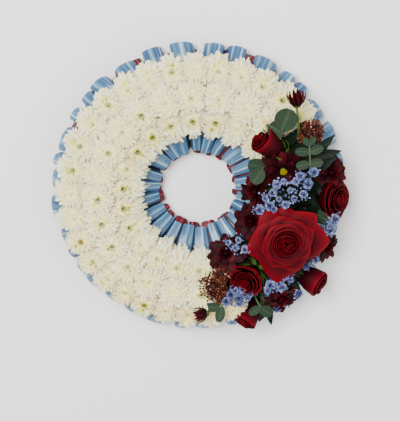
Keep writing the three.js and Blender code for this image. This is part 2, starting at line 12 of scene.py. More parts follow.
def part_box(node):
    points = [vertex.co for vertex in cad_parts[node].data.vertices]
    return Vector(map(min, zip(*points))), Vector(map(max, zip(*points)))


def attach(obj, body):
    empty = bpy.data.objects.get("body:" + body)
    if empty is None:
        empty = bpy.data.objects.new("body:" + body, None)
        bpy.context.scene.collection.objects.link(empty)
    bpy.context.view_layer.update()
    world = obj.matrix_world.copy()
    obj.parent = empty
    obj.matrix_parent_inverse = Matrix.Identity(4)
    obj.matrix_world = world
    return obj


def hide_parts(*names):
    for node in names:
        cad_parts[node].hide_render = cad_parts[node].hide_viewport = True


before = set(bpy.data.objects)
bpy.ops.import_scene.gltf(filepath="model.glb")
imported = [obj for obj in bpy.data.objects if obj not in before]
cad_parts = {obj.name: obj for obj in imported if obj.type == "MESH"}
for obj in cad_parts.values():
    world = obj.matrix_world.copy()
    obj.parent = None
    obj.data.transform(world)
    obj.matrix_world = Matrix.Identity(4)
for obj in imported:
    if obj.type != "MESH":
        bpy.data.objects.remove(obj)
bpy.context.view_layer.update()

MM = 0.001
GOLDEN_ANGLE = math.radians(137.508)
# Faces that meet at more than this are shaded as an edge
SHARP_ANGLE = math.radians(50)

# The foam ring's own sizes, read from its solid
foam_low, foam_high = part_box("foam_ring")
RING_X = (foam_low.x + foam_high.x) / 2
RING_Y = (foam_low.y + foam_high.y) / 2
FOAM_TOP = foam_high.z
FOAM_OUTER = (foam_high.x - foam_low.x) / 2
FOAM_INNER = 85 * MM
FOAM_BEVEL = 16 * MM
FOAM_BEVEL_DROP = 18 * MM
FOAM_STEPS = 128
CROWN = (FOAM_OUTER + FOAM_INNER) / 2


def unit(vectors):
    """Vectors brought to length 1 along their last axis."""
    length = np.linalg.norm(vectors, axis=-1, keepdims=True)
    return vectors / np.maximum(length, 1e-12)


def outward(angle):
    """The level direction at an angle in degrees, counter-clockwise from +X."""
    turn = math.radians(angle)
    return np.array([math.cos(turn), math.sin(turn), 0.0])


def on_foam(radius, angle, rise):
    """A point at a radius in millimetres, an angle in degrees and millimetres over the foam."""
    return outward(angle) * radius * MM + np.array([RING_X, RING_Y, FOAM_TOP + rise * MM])


def leaning(angle, tilt):
    """A direction tilted from straight up towards an angle, both in degrees."""
    lean = math.radians(tilt)
    return outward(angle) * math.sin(lean) + np.array([0.0, 0.0, math.cos(lean)])


def wobble(number):
    """A repeatable small irregularity between -1 and 1, as the solids use."""
    return math.sin(number * 12.9898 + 4.1)


def placed(spec):
    """The centre and axis of a flower."""
    return on_foam(spec["radius"], spec["angle"], spec["rise"]), leaning(spec["aim"], spec["tilt"])


def axes_of(axis):
    """Two directions across an axis, so that along x across = axis."""
    front = np.array([1.0, 0.0, 0.0]) if abs(axis[2]) > 0.99 else np.array([0.0, 0.0, 1.0])
    across = unit(np.cross(front, axis))
    return np.cross(across, axis), across


def around(turns, along, across):
    """Directions at angles round an axis, from the two directions across it."""
    return np.cos(turns)[..., None] * along + np.sin(turns)[..., None] * across


def aimed(polar, axis, level):
    """Directions tilted from an axis towards those across it."""
    return np.cos(polar)[..., None] * axis + np.sin(polar)[..., None] * level


def evenly(count):
    """Angles evenly round a circle."""
    return np.arange(count) / count * 2 * math.pi


# Meshes


def add_object(name, data):
    made = bpy.data.objects.new(name, data)
    bpy.context.scene.collection.objects.link(made)
    return made


class Build:
    """Collects the points and faces of one piece, each point with a tint and a seed."""

    def __init__(self):
        self.points, self.faces, self.tints, self.seeds = [], [], [], []
        self.count = 0

    def add(self, points, faces, tint=0.0, seed=0.0):
        points = np.asarray(points, float).reshape(-1, 3)
        self.points.append(points)
        self.faces.extend((np.asarray(group) + self.count for group in faces))
        self.tints.append(np.broadcast_to(np.asarray(tint, float).reshape(-1), (len(points),)))
        self.seeds.append(np.broadcast_to(np.asarray(seed, float).reshape(-1), (len(points),)))
        self.count += len(points)

    def piece(self, name, slot, node):
        """Makes the mesh object, which rides on the wreath and stands for its solid."""
        corners = np.concatenate([group.reshape(-1) for group in self.faces])
        sizes = np.concatenate([np.full(len(group), group.shape[1]) for group in self.faces])
        mesh = bpy.data.meshes.new(name)
        mesh.vertices.add(self.count)
        mesh.vertices.foreach_set("co", np.concatenate(self.points).astype(np.float32).ravel())
        mesh.loops.add(len(corners))
        mesh.loops.foreach_set("vertex_index", corners.astype(np.int32))
        mesh.polygons.add(len(sizes))
        starts = np.concatenate([[0], np.cumsum(sizes)[:-1]])
        mesh.polygons.foreach_set("loop_start", starts.astype(np.int32))
        mesh.update(calc_edges=True)
        mesh.polygons.foreach_set("use_smooth", np.ones(len(sizes), bool))
        for attribute, values in (("tint", self.tints), ("seed", self.seeds)):
            layer = mesh.attributes.new(attribute, "FLOAT", "POINT")
            layer.data.foreach_set("value", np.concatenate(values).astype(np.float32))
        mesh.validate()
        mesh.set_sharp_from_angle(angle=SHARP_ANGLE)
        mesh.materials.append(MATERIALS[slot])
        made = add_object(name, mesh)
        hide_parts(node)
        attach(made, "root")
        return made


def skin(index):
    """Faces between neighbouring rings of point numbers (..., rings, sides)."""
    after = np.roll(index, -1, axis=-1)
    faces = [index[..., :-1, :], index[..., 1:, :], after[..., 1:, :], after[..., :-1, :]]
    return np.stack(faces, axis=-1).reshape(-1, 4)


# The order of a face's corners that turns it round and keeps its first one
FLIPPED = [0, 3, 2, 1]


def blades(build, paths, sides, half_widths, thickness, cup, tints, seeds):
    """Closed thin blades along paths (blades, stations, 3), four points round a station."""
    count, stations, _ = paths.shape
    tangents = unit(np.gradient(paths, axis=1))
    sides = sides[:, None, :]
    sides = unit(sides - tangents * np.sum(sides * tangents, axis=-1, keepdims=True))
    normals = np.cross(tangents, sides)
    wide = np.broadcast_to(half_widths, (count, stations))[..., None]
    lift = normals * wide * cup
    thick = normals * thickness
    ring = [paths + sides * wide + lift, paths + thick, paths - sides * wide + lift, paths - thick]
    index = np.arange(count * stations * 4).reshape(count, stations, 4)
    caps = np.concatenate([index[:, 0, ::-1], index[:, -1]])
    tints = np.broadcast_to(tints, (count, stations))
    build.add(np.stack(ring, axis=2), [skin(index)[:, FLIPPED], caps],
              np.repeat(tints[..., None], 4, axis=-1), np.repeat(seeds, stations * 4))


def shell(build, grid, thickness, tints, seed):
    """A closed thin shell on a grid of points (rows, columns, 3)."""
    rows, columns, _ = grid.shape
    down = np.gradient(grid, axis=0)
    over = np.gradient(grid, axis=1)
    normals = unit(np.cross(down, over))
    front = grid + normals * thickness / 2
    back = grid - normals * thickness / 2
    index = np.arange(rows * columns).reshape(rows, columns)
    quad = np.stack([index[:-1, :-1], index[1:, :-1], index[1:, 1:], index[:-1, 1:]], axis=-1)
    quad = quad.reshape(-1, 4)
    rim = np.concatenate([index[0, :], index[1:, -1], index[-1, -2::-1], index[-2:0:-1, 0]])
    after = np.roll(rim, -1)
    total = rows * columns
    edge = np.stack([rim, after, after + total, rim + total], axis=-1)
    faces = [quad, quad[:, ::-1] + total, edge]
    build.add(np.concatenate([front.reshape(-1, 3), back.reshape(-1, 3)]), faces,
              np.concatenate([tints.reshape(-1), tints.reshape(-1)]), seed)


def tube(build, path, radius, tint, seed, sides=6):
    """A closed tube of one radius along points."""
    path = np.asarray(path, float)
    tangents = unit(np.gradient(path, axis=0))
    along = axes_of(tangents[0])[0]
    one = unit(along - tangents * (tangents @ along)[:, None])
    two = np.cross(tangents, one)
    turns = evenly(sides)[:, None]
    rings = np.cos(turns) * one[:, None] + np.sin(turns) * two[:, None]
    index = np.arange(len(path) * sides).reshape(-1, sides)
    caps = np.array([index[0, ::-1], index[-1]])
    build.add(path[:, None] + radius * rings, [skin(index)[:, FLIPPED], caps], tint, seed)


def closed_body(build, rings, top, bottom, tint, seed):
    """A closed body from rings of points (rings, sides, 3) between a top and a bottom point."""
    points = np.concatenate([[top], rings.reshape(-1, 3), [bottom]])
    index = 1 + np.arange(len(points) - 2).reshape(rings.shape[:2])
    after = np.roll(index, -1, axis=1)
    first, last = np.zeros_like(index[0]), np.full_like(index[0], len(points) - 1)
    tips = np.concatenate([np.stack([first, index[0], after[0]], axis=-1),
                           np.stack([last, after[-1], index[-1]], axis=-1)])
    build.add(points, [tips, skin(index)], tint, seed)


def bead(build, centre, axis, radius, length, tint, seed, sides=8, rings=4):
    """A closed small bud: a round body, longer along its axis."""
    polar = np.linspace(0, math.pi, rings + 2)[1:-1, None, None]
    level = np.sin(polar) * radius * around(evenly(sides), *axes_of(axis))
    closed_body(build, centre + level + np.cos(polar) * length * axis, centre + axis * length,
                centre - axis * length, tint, seed)


def bezier(first, handle, last, stations):
    """Points along quadratic curves; each end may be one point or many (m, 3)."""
    t = np.linspace(0, 1, stations)[None, :, None]
    first, handle, last = (np.atleast_2d(x)[:, None, :] for x in (first, handle, last))
    return first * (1 - t) ** 2 + handle * 2 * t * (1 - t) + last * t ** 2


# Materials


class Shader:
    """A small helper that lays out the nodes of one procedural material."""

    def __init__(self, name):
        self.material = bpy.data.materials.new(name)
        self.material.use_nodes = True
        self.tree = self.material.node_tree
        self.surface = self.tree.nodes["Principled BSDF"]

    def node(self, kind, **settings):
        made = self.tree.nodes.new(kind)
        for key, value in settings.items():
            setattr(made, key, value)
        return made

    def link(self, source, target):
        self.tree.links.new(source, target)

    def attribute(self, name):
        return self.node("ShaderNodeAttribute", attribute_name=name).outputs["Fac"]

    def ramp(self, source, stops):
        """Colours along a value, from stops of a place and a colour in 0 to 255."""
        made = self.node("ShaderNodeValToRGB")
        while len(made.color_ramp.elements) < len(stops):
            made.color_ramp.elements.new(0.5)
        for element, (place, colour) in zip(made.color_ramp.elements, stops):
            element.position = place
            element.color = (*srgb(colour), 1)
        self.link(source, made.inputs["Fac"])
        return made.outputs["Color"]

    def noise(self, scale, detail=3.0):
        place = self.node("ShaderNodeTexCoord").outputs["Object"]
        made = self.node("ShaderNodeTexNoise")
        made.inputs["Scale"].default_value = scale
        made.inputs["Detail"].default_value = detail
        self.link(place, made.inputs["Vector"])
        return made.outputs["Fac"]

    def darkened(self, colour, share, factor):
        """A colour multiplied by another one or by a grey, to the given factor."""
        made = self.node("ShaderNodeMix", data_type="RGBA", blend_type="MULTIPLY")
        made.inputs[0].default_value = factor
        self.link(colour, made.inputs[6])
        self.link(share, made.inputs[7])
        return made.outputs[2]

    def grey(self, source, low, high):
        """A value from 0 to 1 brought between two greys."""
        made = self.node("ShaderNodeMapRange")
        made.inputs["To Min"].default_value = low
        made.inputs["To Max"].default_value = high
        self.link(source, made.inputs["Value"])
        return made.outputs["Result"]

    def bump(self, source, strength, distance):
        made = self.node("ShaderNodeBump")
        made.inputs["Strength"].default_value = strength
        made.inputs["Distance"].default_value = distance
        self.link(source, made.inputs["Height"])
        self.link(made.outputs["Normal"], self.surface.inputs["Normal"])

    def colour(self, source):
        self.link(source, self.surface.inputs["Base Color"])

    def set(self, **values):
        for key, value in values.items():
            self.surface.inputs[key.replace("_", " ")].default_value = value


def srgb(colour):
    """A colour given in 0 to 255 as the linear values a shader takes."""
    shares = [value / 255 for value in colour]
    return [share / 12.92 if share <= 0.04045 else ((share + 0.055) / 1.055) ** 2.4
            for share in shares]


WHITE = (255, 255, 255)


def petal_material(name, roughness, variation, shine, scatter, stops, bump=0.25, speck=None):
    """Petals: a ramp along the tint, each petal a little lighter or darker, with fine veins.

    speck is the colour of small spots, if there are any.
    """
    shader = Shader(name)
    base = shader.ramp(shader.attribute("tint"), stops)
    each = shader.grey(shader.attribute("seed"), 1 - variation, 1.0)
    varied = shader.darkened(base, each, 1.0)
    blotch = shader.grey(shader.noise(260.0), 1 - variation * 0.8, 1.0)
    colour = shader.darkened(varied, blotch, 0.8)
    if speck is not None:
        spots = shader.ramp(shader.noise(330.0, 2.0),
                            [(0.0, WHITE), (0.6, WHITE), (0.7, speck)])
        colour = shader.darkened(colour, spots, 0.8)
    shader.colour(colour)
    shader.bump(shader.noise(900.0, 4.0), bump, 0.0004)
    shader.set(Roughness=roughness, Subsurface_Weight=scatter, Subsurface_Scale=0.004,
               Specular_IOR_Level=shine)
    return shader.material


def leaf_material(name, stops, roughness, coat):
    """Waxy leaves: a ramp from edge to midrib, cloudy bloom and faint veins."""
    shader = Shader(name)
    base = shader.ramp(shader.attribute("tint"), stops)
    each = shader.grey(shader.attribute("seed"), 0.75, 1.0)
    varied = shader.darkened(base, each, 1.0)
    bloom = shader.grey(shader.noise(140.0), 0.78, 1.0)
    shader.colour(shader.darkened(varied, bloom, 0.9))
    shader.bump(shader.noise(700.0, 4.0), 0.2, 0.0004)
    shader.set(Roughness=roughness, Coat_Weight=coat, Coat_Roughness=0.35,
               Specular_IOR_Level=0.12, Subsurface_Weight=0.03, Subsurface_Scale=0.003)
    return shader.material


def satin_material(name, light, middle, deep, dark):
    """Satin ribbon: smooth cloth whose fine threads run along its length. Its ramp runs from
    painted shade in the creases (dark, deep) through the cloth's own colour (middle) to a painted
    highlight (light).
    """
    shader = Shader(name)
    base = shader.ramp(shader.attribute("tint"),
                       [(0.0, dark), (0.28, deep), (0.6, middle), (1.0, light)])
    threads = shader.grey(shader.noise(1400.0, 2.0), 0.84, 1.0)
    cloudy = shader.grey(shader.noise(60.0), 0.8, 1.0)
    woven = shader.darkened(base, threads, 0.9)
    shader.colour(shader.darkened(woven, cloudy, 0.8))
    shader.bump(shader.noise(420.0, 3.0), 0.2, 0.0008)
    shader.set(Roughness=0.34, Sheen_Weight=0.1, Sheen_Roughness=0.35,
               Anisotropic=0.5, Specular_IOR_Level=0.55)
    return shader.material


def foam_material():
    shader = Shader("wet_foam")
    grain = shader.noise(1200.0, 5.0)
    shader.colour(shader.ramp(grain, [(0.3, (10, 18, 10)), (0.7, (28, 42, 24))]))
    shader.bump(grain, 0.7, 0.001)
    shader.set(Roughness=0.92, Specular_IOR_Level=0.2)
    return shader.material


# Roughness, how much single petals vary, shine, how much light goes through and the colours
# along the tint; the white ones also with their bump and the colour of their spots
PETALS = {
    "white_petals": (0.75, 0.1, 0.15, 0.4, [
        (0.0, (255, 240, 202)), (0.35, (255, 230, 164)), (0.52, (234, 226, 96)),
        (0.66, (190, 200, 24)), (0.82, (118, 130, 8)), (1.0, (44, 54, 4))], 0.15,
        (206, 184, 140)),
    "red_petals": (0.6, 0.22, 0.06, 0.02, [
        (0.0, (24, 0, 5)), (0.35, (46, 1, 8)), (0.7, (94, 3, 16)), (0.9, (122, 7, 22)),
        (1.0, (74, 104, 40))]),
    "burgundy_petals": (0.55, 0.25, 0.07, 0.01, [
        (0.0, (12, 0, 3)), (0.5, (38, 1, 7)), (0.7, (74, 4, 15)), (0.73, (110, 110, 24)),
        (0.9, (176, 156, 20)), (1.0, (66, 96, 40))]),
    "skimmia_buds": (0.5, 0.4, 0.15, 0.02, [
        (0.0, (30, 10, 6)), (0.5, (88, 40, 28)), (0.85, (140, 80, 56)), (0.92, (200, 160, 140)),
        (1.0, (70, 84, 40))]),
    "blue_gypsophila": (0.65, 0.4, 0.15, 0.05, [
        (0.0, (28, 32, 62)), (0.4, (70, 78, 126)), (0.8, (134, 142, 190)),
        (0.9, (206, 212, 236)), (1.0, (34, 48, 32))]),
}

# Every slot's material
MATERIALS = {name: petal_material(name, *look) for name, look in PETALS.items()}
MATERIALS["eucalyptus"] = leaf_material("eucalyptus", [
    (0.0, (22, 36, 24)), (0.5, (42, 60, 42)), (1.0, (78, 94, 66))], 0.6, 0.02)
MATERIALS["dark_foliage"] = leaf_material("dark_foliage", [
    (0.0, (4, 12, 6)), (0.6, (12, 28, 14)), (1.0, (38, 56, 28))], 0.5, 0.03)
# Each satin's painted highlight, its own colour, painted shade on the loops' sides and painted
# shade in the creases
MATERIALS["blue_satin"] = satin_material(
    "blue_satin", (172, 200, 214), (82, 126, 160), (40, 78, 118), (8, 26, 60))
MATERIALS["claret_satin"] = satin_material(
    "claret_satin", (170, 56, 74), (98, 10, 28), (60, 4, 16), (26, 1, 8))
MATERIALS["foam"] = foam_material()


# Foam ring


def make_foam():
    """The ring keeps its solid's profile, with its edges softened by short steps."""
    soft = 1.5 * MM
    low = foam_low.z
    shoulder = FOAM_TOP - FOAM_BEVEL_DROP
    profile = np.array([
        (FOAM_INNER + soft, low), (FOAM_OUTER - soft, low), (FOAM_OUTER, low + soft),
        (FOAM_OUTER, shoulder - soft), (FOAM_OUTER - soft, shoulder + soft),
        (FOAM_OUTER - FOAM_BEVEL, FOAM_TOP), (FOAM_INNER + FOAM_BEVEL, FOAM_TOP),
        (FOAM_INNER + soft, shoulder + soft), (FOAM_INNER, shoulder - soft),
        (FOAM_INNER, low + soft),
    ])
    radius, height = profile.T
    turns = evenly(FOAM_STEPS)[:, None]
    points = np.stack(np.broadcast_arrays(RING_X + np.cos(turns) * radius,
                                          RING_Y + np.sin(turns) * radius, height), axis=-1)
    index = np.arange(points.size // 3).reshape(len(turns), -1)
    build = Build()
    build.add(points, [skin(np.concatenate([index, index[:1]]))])
    made = build.piece("foam_ring_finish", "foam", "foam_ring")
    made.data.polygons.foreach_set("use_smooth", np.zeros(len(made.data.polygons), bool))


# Pleated ribbons

RIBBON_THICKNESS = 0.4 * MM


def make_ribbon(name, slot, pinned, free, pleats, shape, seed):
    """A ribbon gathered into round loops. pinned and free are (radius, height) of its edges.

    shape gives the share of each pleat that its loop takes, the loop's height, the depth of the
    tuck between loops, how far that tuck is drawn back, and how uneven the loops are.
    """
    loop_share, height, tuck, drawn, ragged = shape
    dice = np.random.default_rng(seed)
    loop_points, tuck_points, rows = 19, 5, 9
    arc = np.linspace(0, math.pi, loop_points, endpoint=False)
    dip = np.linspace(0, math.pi, tuck_points, endpoint=False)
    half = loop_share / 2
    loop_across = half - half * np.cos(arc) * (1 + 0.3 * np.sin(arc))
    tuck_across = loop_share + (1 - loop_share) * (0.5 - 0.5 * np.cos(dip))
    which = np.repeat(np.arange(pleats), loop_points + tuck_points)

    def pleated(over_loop, over_tuck):
        return np.tile(np.concatenate([over_loop, over_tuck]), pleats)

    across = pleated(loop_across, tuck_across)
    rise = pleated(np.sin(arc) ** 0.6, np.zeros(tuck_points))
    scallop = pleated(1 - np.sin(arc) ** 0.5, np.ones(tuck_points))
    sink = pleated(np.zeros(loop_points), np.sin(dip))
    arcs = pleated(arc, np.zeros(tuck_points))

    def each(low, high):
        return dice.uniform(low, high, pleats)[which]

    size = height * each(1 - ragged, 1 + ragged)
    reach = each(-1, 1) * 5 * MM * ragged
    droop = each(-1, 1) * 4 * MM * ragged
    lean = each(-1, 1) * 0.5 * ragged
    slip = each(-1, 1) * 0.35 * ragged
    crease = each(0.3, 1.0) * MM
    stripes = each(2.2, 4.2)
    phase = each(0, 6)
    widths = dice.uniform(1 - 0.9 * ragged, 1 + 0.9 * ragged, pleats)
    widths = widths * pleats / widths.sum()
    across = (np.cumsum(widths) - widths)[which] + across * widths[which]
    grid = []
    for row in range(rows):
        t = row / (rows - 1)
        radius = pinned[0] + (free[0] + reach - pinned[0]) * t
        back_in = (scallop * 0.62 + sink * 0.38) * t ** 1.5
        radius = radius - np.sign(free[0] - pinned[0]) * drawn * back_in
        level = pinned[1] + (free[1] + droop - pinned[1]) * t ** 1.2
        opened = 0.45 + 0.55 * math.sin(t * math.pi / 2)
        lift = opened * (size * rise - tuck * sink) - size * 0.45 * t ** 5 * rise
        lift = lift + crease * t * np.sin(2 * stripes * arcs + phase) * rise
        turn = (across + (lean * rise + slip) * t) / pleats * 2 * math.pi
        grid.append(np.stack([RING_X + np.cos(turn) * radius, RING_Y + np.sin(turn) * radius,
                              level + lift], axis=-1))
    grid = np.array(grid)
    columns = grid.shape[1]
    build = Build()
    down = np.gradient(grid, axis=0)
    over = np.roll(grid, -1, axis=1) - np.roll(grid, 1, axis=1)
    sign = 1 if free[0] > pinned[0] else -1
    normals = unit(np.cross(down, over)) * sign
    front = grid + normals * RIBBON_THICKNESS / 2
    back = grid - normals * RIBBON_THICKNESS / 2
    index = np.arange(rows * columns).reshape(rows, columns)
    beside = np.roll(index, -1, axis=1)
    total = rows * columns
    quad = skin(index)
    upper, lower = (quad, quad[:, ::-1] + total) if sign > 0 else (quad[:, ::-1], quad + total)
    pinned_rim = np.stack([index[0], beside[0], beside[0] + total, index[0] + total], axis=-1)
    free_rim = np.stack([index[-1], index[-1] + total, beside[-1] + total, beside[-1]], axis=-1)
    if sign < 0:
        pinned_rim, free_rim = pinned_rim[:, ::-1], free_rim[:, ::-1]
    # Painted light on the cloth: loops lighter on their crests and a little lighter towards the
    # free edge, painted shade in the tucks between them, painted highlight streaks and fine
    # painted stripes along each loop, and a random tone for each pleat.
    painted_streak = np.clip(np.sin(stripes * arcs * 2 + phase), 0, 1) ** 5
    fine = np.sin(stripes * arcs * 5 + phase * 3)
    shade = (0.34 * rise + 0.6 * painted_streak + 0.16 * fine + each(-0.14, 0.1)) * rise - 0.2 * sink
    outwards = np.linspace(-0.05, 0.08, rows)[:, None]
    tint = np.clip(0.1 + shade[None, :] + outwards * rise[None, :], 0, 1).reshape(-1)
    build.add(np.concatenate([front.reshape(-1, 3), back.reshape(-1, 3)]),
              [upper, lower, pinned_rim, free_rim], np.concatenate([tint, tint]))
    made = build.piece(name + "_cloth", slot, name)
    widths = np.linalg.norm(np.diff(grid, axis=0), axis=-1).sum(axis=0)


OUTER_WALL = FOAM_OUTER + 0.6 * MM
INNER_WALL = FOAM_INNER - 1.2 * MM


def make_ribbons():
    make_ribbon("outer_blue_ribbon", "blue_satin", (OUTER_WALL, 27 * MM), (180.5 * MM, 14 * MM),
                36, (0.7, 10 * MM, 7 * MM, 15 * MM, 0.42), 3)
    make_ribbon("outer_claret_ribbon", "claret_satin", (OUTER_WALL, 20 * MM),
                (173 * MM, 6.5 * MM), 28, (0.6, 5 * MM, 3 * MM, 8 * MM, 0.7), 4)
    make_ribbon("inner_blue_ribbon", "blue_satin", (INNER_WALL, 30 * MM), (47 * MM, 16 * MM),
                22, (0.84, 7 * MM, 5 * MM, 6 * MM, 0.34), 6)
    make_ribbon("inner_claret_ribbon", "claret_satin", (INNER_WALL, 23 * MM),
                (44.5 * MM, 8 * MM), 20, (0.74, 5 * MM, 3 * MM, 9 * MM, 0.5), 8)


# White chrysanthemum heads

# Where no solid is met: a head's spread, and its height at the eye
HEAD_SPREAD = 20 * MM
EYE_HEIGHT = 12 * MM
INNER_ROW = dict(count=22, radius=96, rise=4, tilt=-25, phase=59.5, first=-1, last=13)
MIDDLE_ROW = dict(count=24, radius=119.5, rise=14, tilt=0, phase=47, first=0, last=15)
OUTER_ROW = dict(count=33, radius=146, rise=0, tilt=32, phase=37, first=0, last=23)


def row_heads(row):
    """Centres and axes of a row's heads, placed as their solids are."""
    heads = []
    for place in range(row["first"], row["last"] + 1):
        seed = place + row["count"] * 7
        angle = row["phase"] + (place + 0.12 * wobble(seed)) / row["count"] * 360
        radius = row["radius"] + 1.2 * wobble(seed + 3)
        centre = on_foam(radius, angle, row["rise"] + 0.8 * wobble(seed + 5))
        heads.append((centre, leaning(angle, row["tilt"] + 4 * wobble(seed + 9)), angle))
    return heads


RAY_LENGTH = 80 * MM


def solid_tree(node):
    """The solid of a node, ready to be met by rays."""
    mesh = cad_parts[node].data
    return BVHTree.FromPolygons([v.co[:] for v in mesh.vertices],
                                [p.vertices[:] for p in mesh.polygons])


def reach_in(tree, centre, directions, others, fallback):
    """How far a solid goes from a point along each direction, and no nearer to other heads."""
    reaches = []
    for direction in directions:
        hit = tree.ray_cast(Vector(centre), Vector(direction), RAY_LENGTH)
        reach = hit[3] if hit[0] is not None else fallback
        for other in others:
            gap = other - centre
            distance = np.linalg.norm(gap)
            rate = np.dot(direction, gap) / distance
            if rate > 1e-6:
                reach = min(reach, distance / 2 / rate)
        reaches.append(reach)
    return np.array(reaches)


# How much further the petals of the outer and inner rows hang out over the ribbons
FRINGE = 12 * MM
HEAD_PETALS = 190
SKIRT_PETALS = 24
EYE_PETALS = 30
# The angle in degrees from a head's axis to its first petals
FIRST_POLAR = 24
# How far apart the rows stand, and how near a rose the white heads have no fringe
ROW_STEP = 28 * MM
ROSE_ROOM = 42 * MM


def centre_radius(centre):
    """How far a point stands from the ring's axis."""
    return math.hypot(centre[0] - RING_X, centre[1] - RING_Y)


def head_core(build, tree, centre, axis, others, dice):
    """A head's packed inner petals as one closed body a little under the petals' tips."""
    rings, sides = 8, 16
    polar = np.radians(np.linspace(14, 116, rings))[:, None]
    aim = aimed(polar, axis, around(evenly(sides), *axes_of(axis)))
    reach = reach_in(tree, centre, aim.reshape(-1, 3), others, HEAD_SPREAD)
    low = np.repeat(np.linspace(0, 1, rings) > 0.7, sides)
    share = np.where(reach < HEAD_SPREAD, 0.97, np.where(low, 0.95, 0.8))
    share = share * dice.uniform(0.95, 1.02, len(reach))
    skin_points = centre + aim * (reach * share).reshape(rings, sides, 1)
    top = reach_in(tree, centre, [axis], [], EYE_HEIGHT)[0]
    closed_body(build, skin_points, centre + axis * (top - 4 * MM), centre - axis * 4 * MM, 0.3,
                0.7)


def chrysanthemum(build, tree, centre, axis, angle, others, fringe, dice):
    """One double head: whorls of narrow petals that arch out from its eye to its solid's skin,
    and a skirt of broad ones under them. Petals of neighbours mesh where the heads meet, and
    fringe is how far they hang out over the ribbons."""
    strength = min(1.0, dice.uniform(0.3, 1.2))
    count = HEAD_PETALS + SKIRT_PETALS
    place = np.arange(count)
    skirt = place >= HEAD_PETALS
    polar = np.radians(FIRST_POLAR + 72 * ((place + 0.5) / HEAD_PETALS) ** 0.66)
    polar = np.where(skirt, np.radians(100), polar) + dice.normal(0, 0.07, count)
    turn = place * GOLDEN_ANGLE + dice.normal(0, 0.16, count)
    level = around(turn, *axes_of(axis))
    aim = aimed(polar, axis, level)
    reach = reach_in(tree, centre, aim, others, HEAD_SPREAD)
    meshing = np.where(reach < HEAD_SPREAD, 3.4 * MM, 0.4 * MM) * np.sin(polar) ** 2
    row_side = round((centre_radius(centre) - CROWN) / ROW_STEP)
    hanging = np.clip(aim @ outward(angle) * row_side - 0.55, 0, 1) * fringe
    meshing = meshing + np.where(skirt, 5.2 * MM, 0)
    reach = reach * dice.uniform(0.9, 1.05, count) + meshing + hanging
    tips = centre + aim * reach[:, None] - hanging[:, None] * np.array([0.0, 0.0, 0.9])
    handles = centre + aimed(polar * 0.62, axis, level) * reach[:, None] * 0.72 + axis * 0.8 * MM
    roots = centre - axis * 3 * MM + level * 2.2 * MM * np.sin(polar)[:, None]
    paths = bezier(roots, handles, tips, 6)
    curl = dice.normal(0.6, 1.0, count)[:, None] * MM
    sway = np.cross(aim, axis) * dice.normal(0, 1.0, count)[:, None] * MM
    paths[:, -1] += axis * curl - level * curl * 0.6 + sway
    paths[:, 4] += axis * curl * 0.35 + sway * 0.4
    sides = unit(np.cross(axis, level) + dice.normal(0, 0.28, (count, 3)))
    shape = np.array([0.3, 0.62, 0.92, 1.0, 0.84, 0.26])
    wide = dice.uniform(1.4, 2.3, count) * MM * (0.66 + 0.5 * np.sin(polar))
    wide = np.where(skirt, 2.9 * MM, wide) + hanging * 0.1
    towards_root = np.linspace(1, 0, 6)
    near_eye = np.clip(1.1 - (np.degrees(polar) - FIRST_POLAR) / 16, 0, 1)[:, None] * strength
    # Petals are creamier towards their roots, partly their own tone and partly painted shade deep
    # in the head; near the eye they take its green-yellow.
    tints = 0.05 + 0.26 * towards_root + near_eye * (0.52 + 0.2 * towards_root)
    tints = tints + dice.uniform(-0.06, 0.08, (count, 1))
    # Some petals near the eye get darker olive tips.
    olive_tips = (dice.uniform(0, 1, count) < 0.4)[:, None] * near_eye ** 0.5
    tints[:, -2:] += olive_tips * dice.uniform(0.1, 0.4, (count, 1))
    blades(build, paths, sides, wide[:, None] * shape, 0.22 * MM, 0.3, np.clip(tints, 0, 0.8),
           dice.uniform(0, 1, count))
    head_core(build, tree, centre, axis, others, dice)
    eye(build, tree, centre, axis, strength, dice)


def eye(build, tree, centre, axis, strength, dice):
    """The eye: short green-yellow petals that close over a darker middle."""
    place = np.arange(EYE_PETALS)
    share = ((place + 0.5) / EYE_PETALS)[:, None]
    level = around(place * GOLDEN_ANGLE, *axes_of(axis))
    top = reach_in(tree, centre, [axis], [], EYE_HEIGHT)[0]
    top -= 4 * MM * (1 - strength)
    tips = centre + axis * (top + 1.0 * MM + 1.6 * MM * share) + level * 4.4 * MM * share ** 0.5
    roots = centre + axis * (top - 9 * MM) + level * 1.0 * MM
    handles = (tips + roots) / 2 + level * 1.6 * MM
    shape = np.array([0.5, 0.9, 1.0, 0.85, 0.4])
    tints = (0.96 - 0.36 * share) * (0.7 + 0.3 * strength)
    blades(build, bezier(roots, handles, tips, 5), unit(np.cross(axis, level)),
           MM * shape * (0.9 + 0.5 * share), 0.2 * MM, 0.25, tints,
           dice.uniform(0, 1, EYE_PETALS))


def make_white_heads():
    """Every white head, one piece for a single head or a joined arc of them."""
    dice = np.random.default_rng(71)
    rows = [("inner_white_heads", row_heads(INNER_ROW), 3),
            ("white_chrysanthemum", row_heads(MIDDLE_ROW), 1),
            ("outer_white_heads", row_heads(OUTER_ROW), 5)]
    roses = [placed(spec)[0] for spec in ROSES.values()]
    for name, heads, per_node in rows:
        for start in range(0, len(heads), per_node):
            node = f"{name}_{start // per_node + 1}"
            members = heads[start:start + per_node]
            tree = solid_tree(node)
            build = Build()
            for centre, axis, angle in members:
                others = [other for other, _, _ in members if other is not centre]
                room = min(np.linalg.norm(centre - rose) for rose in roses)
                fringe = FRINGE if room > ROSE_ROOM else 0.0
                chrysanthemum(build, tree, centre, axis, angle, others, fringe, dice)
            build.piece(node + "_petals", "white_petals", node)


# Roses


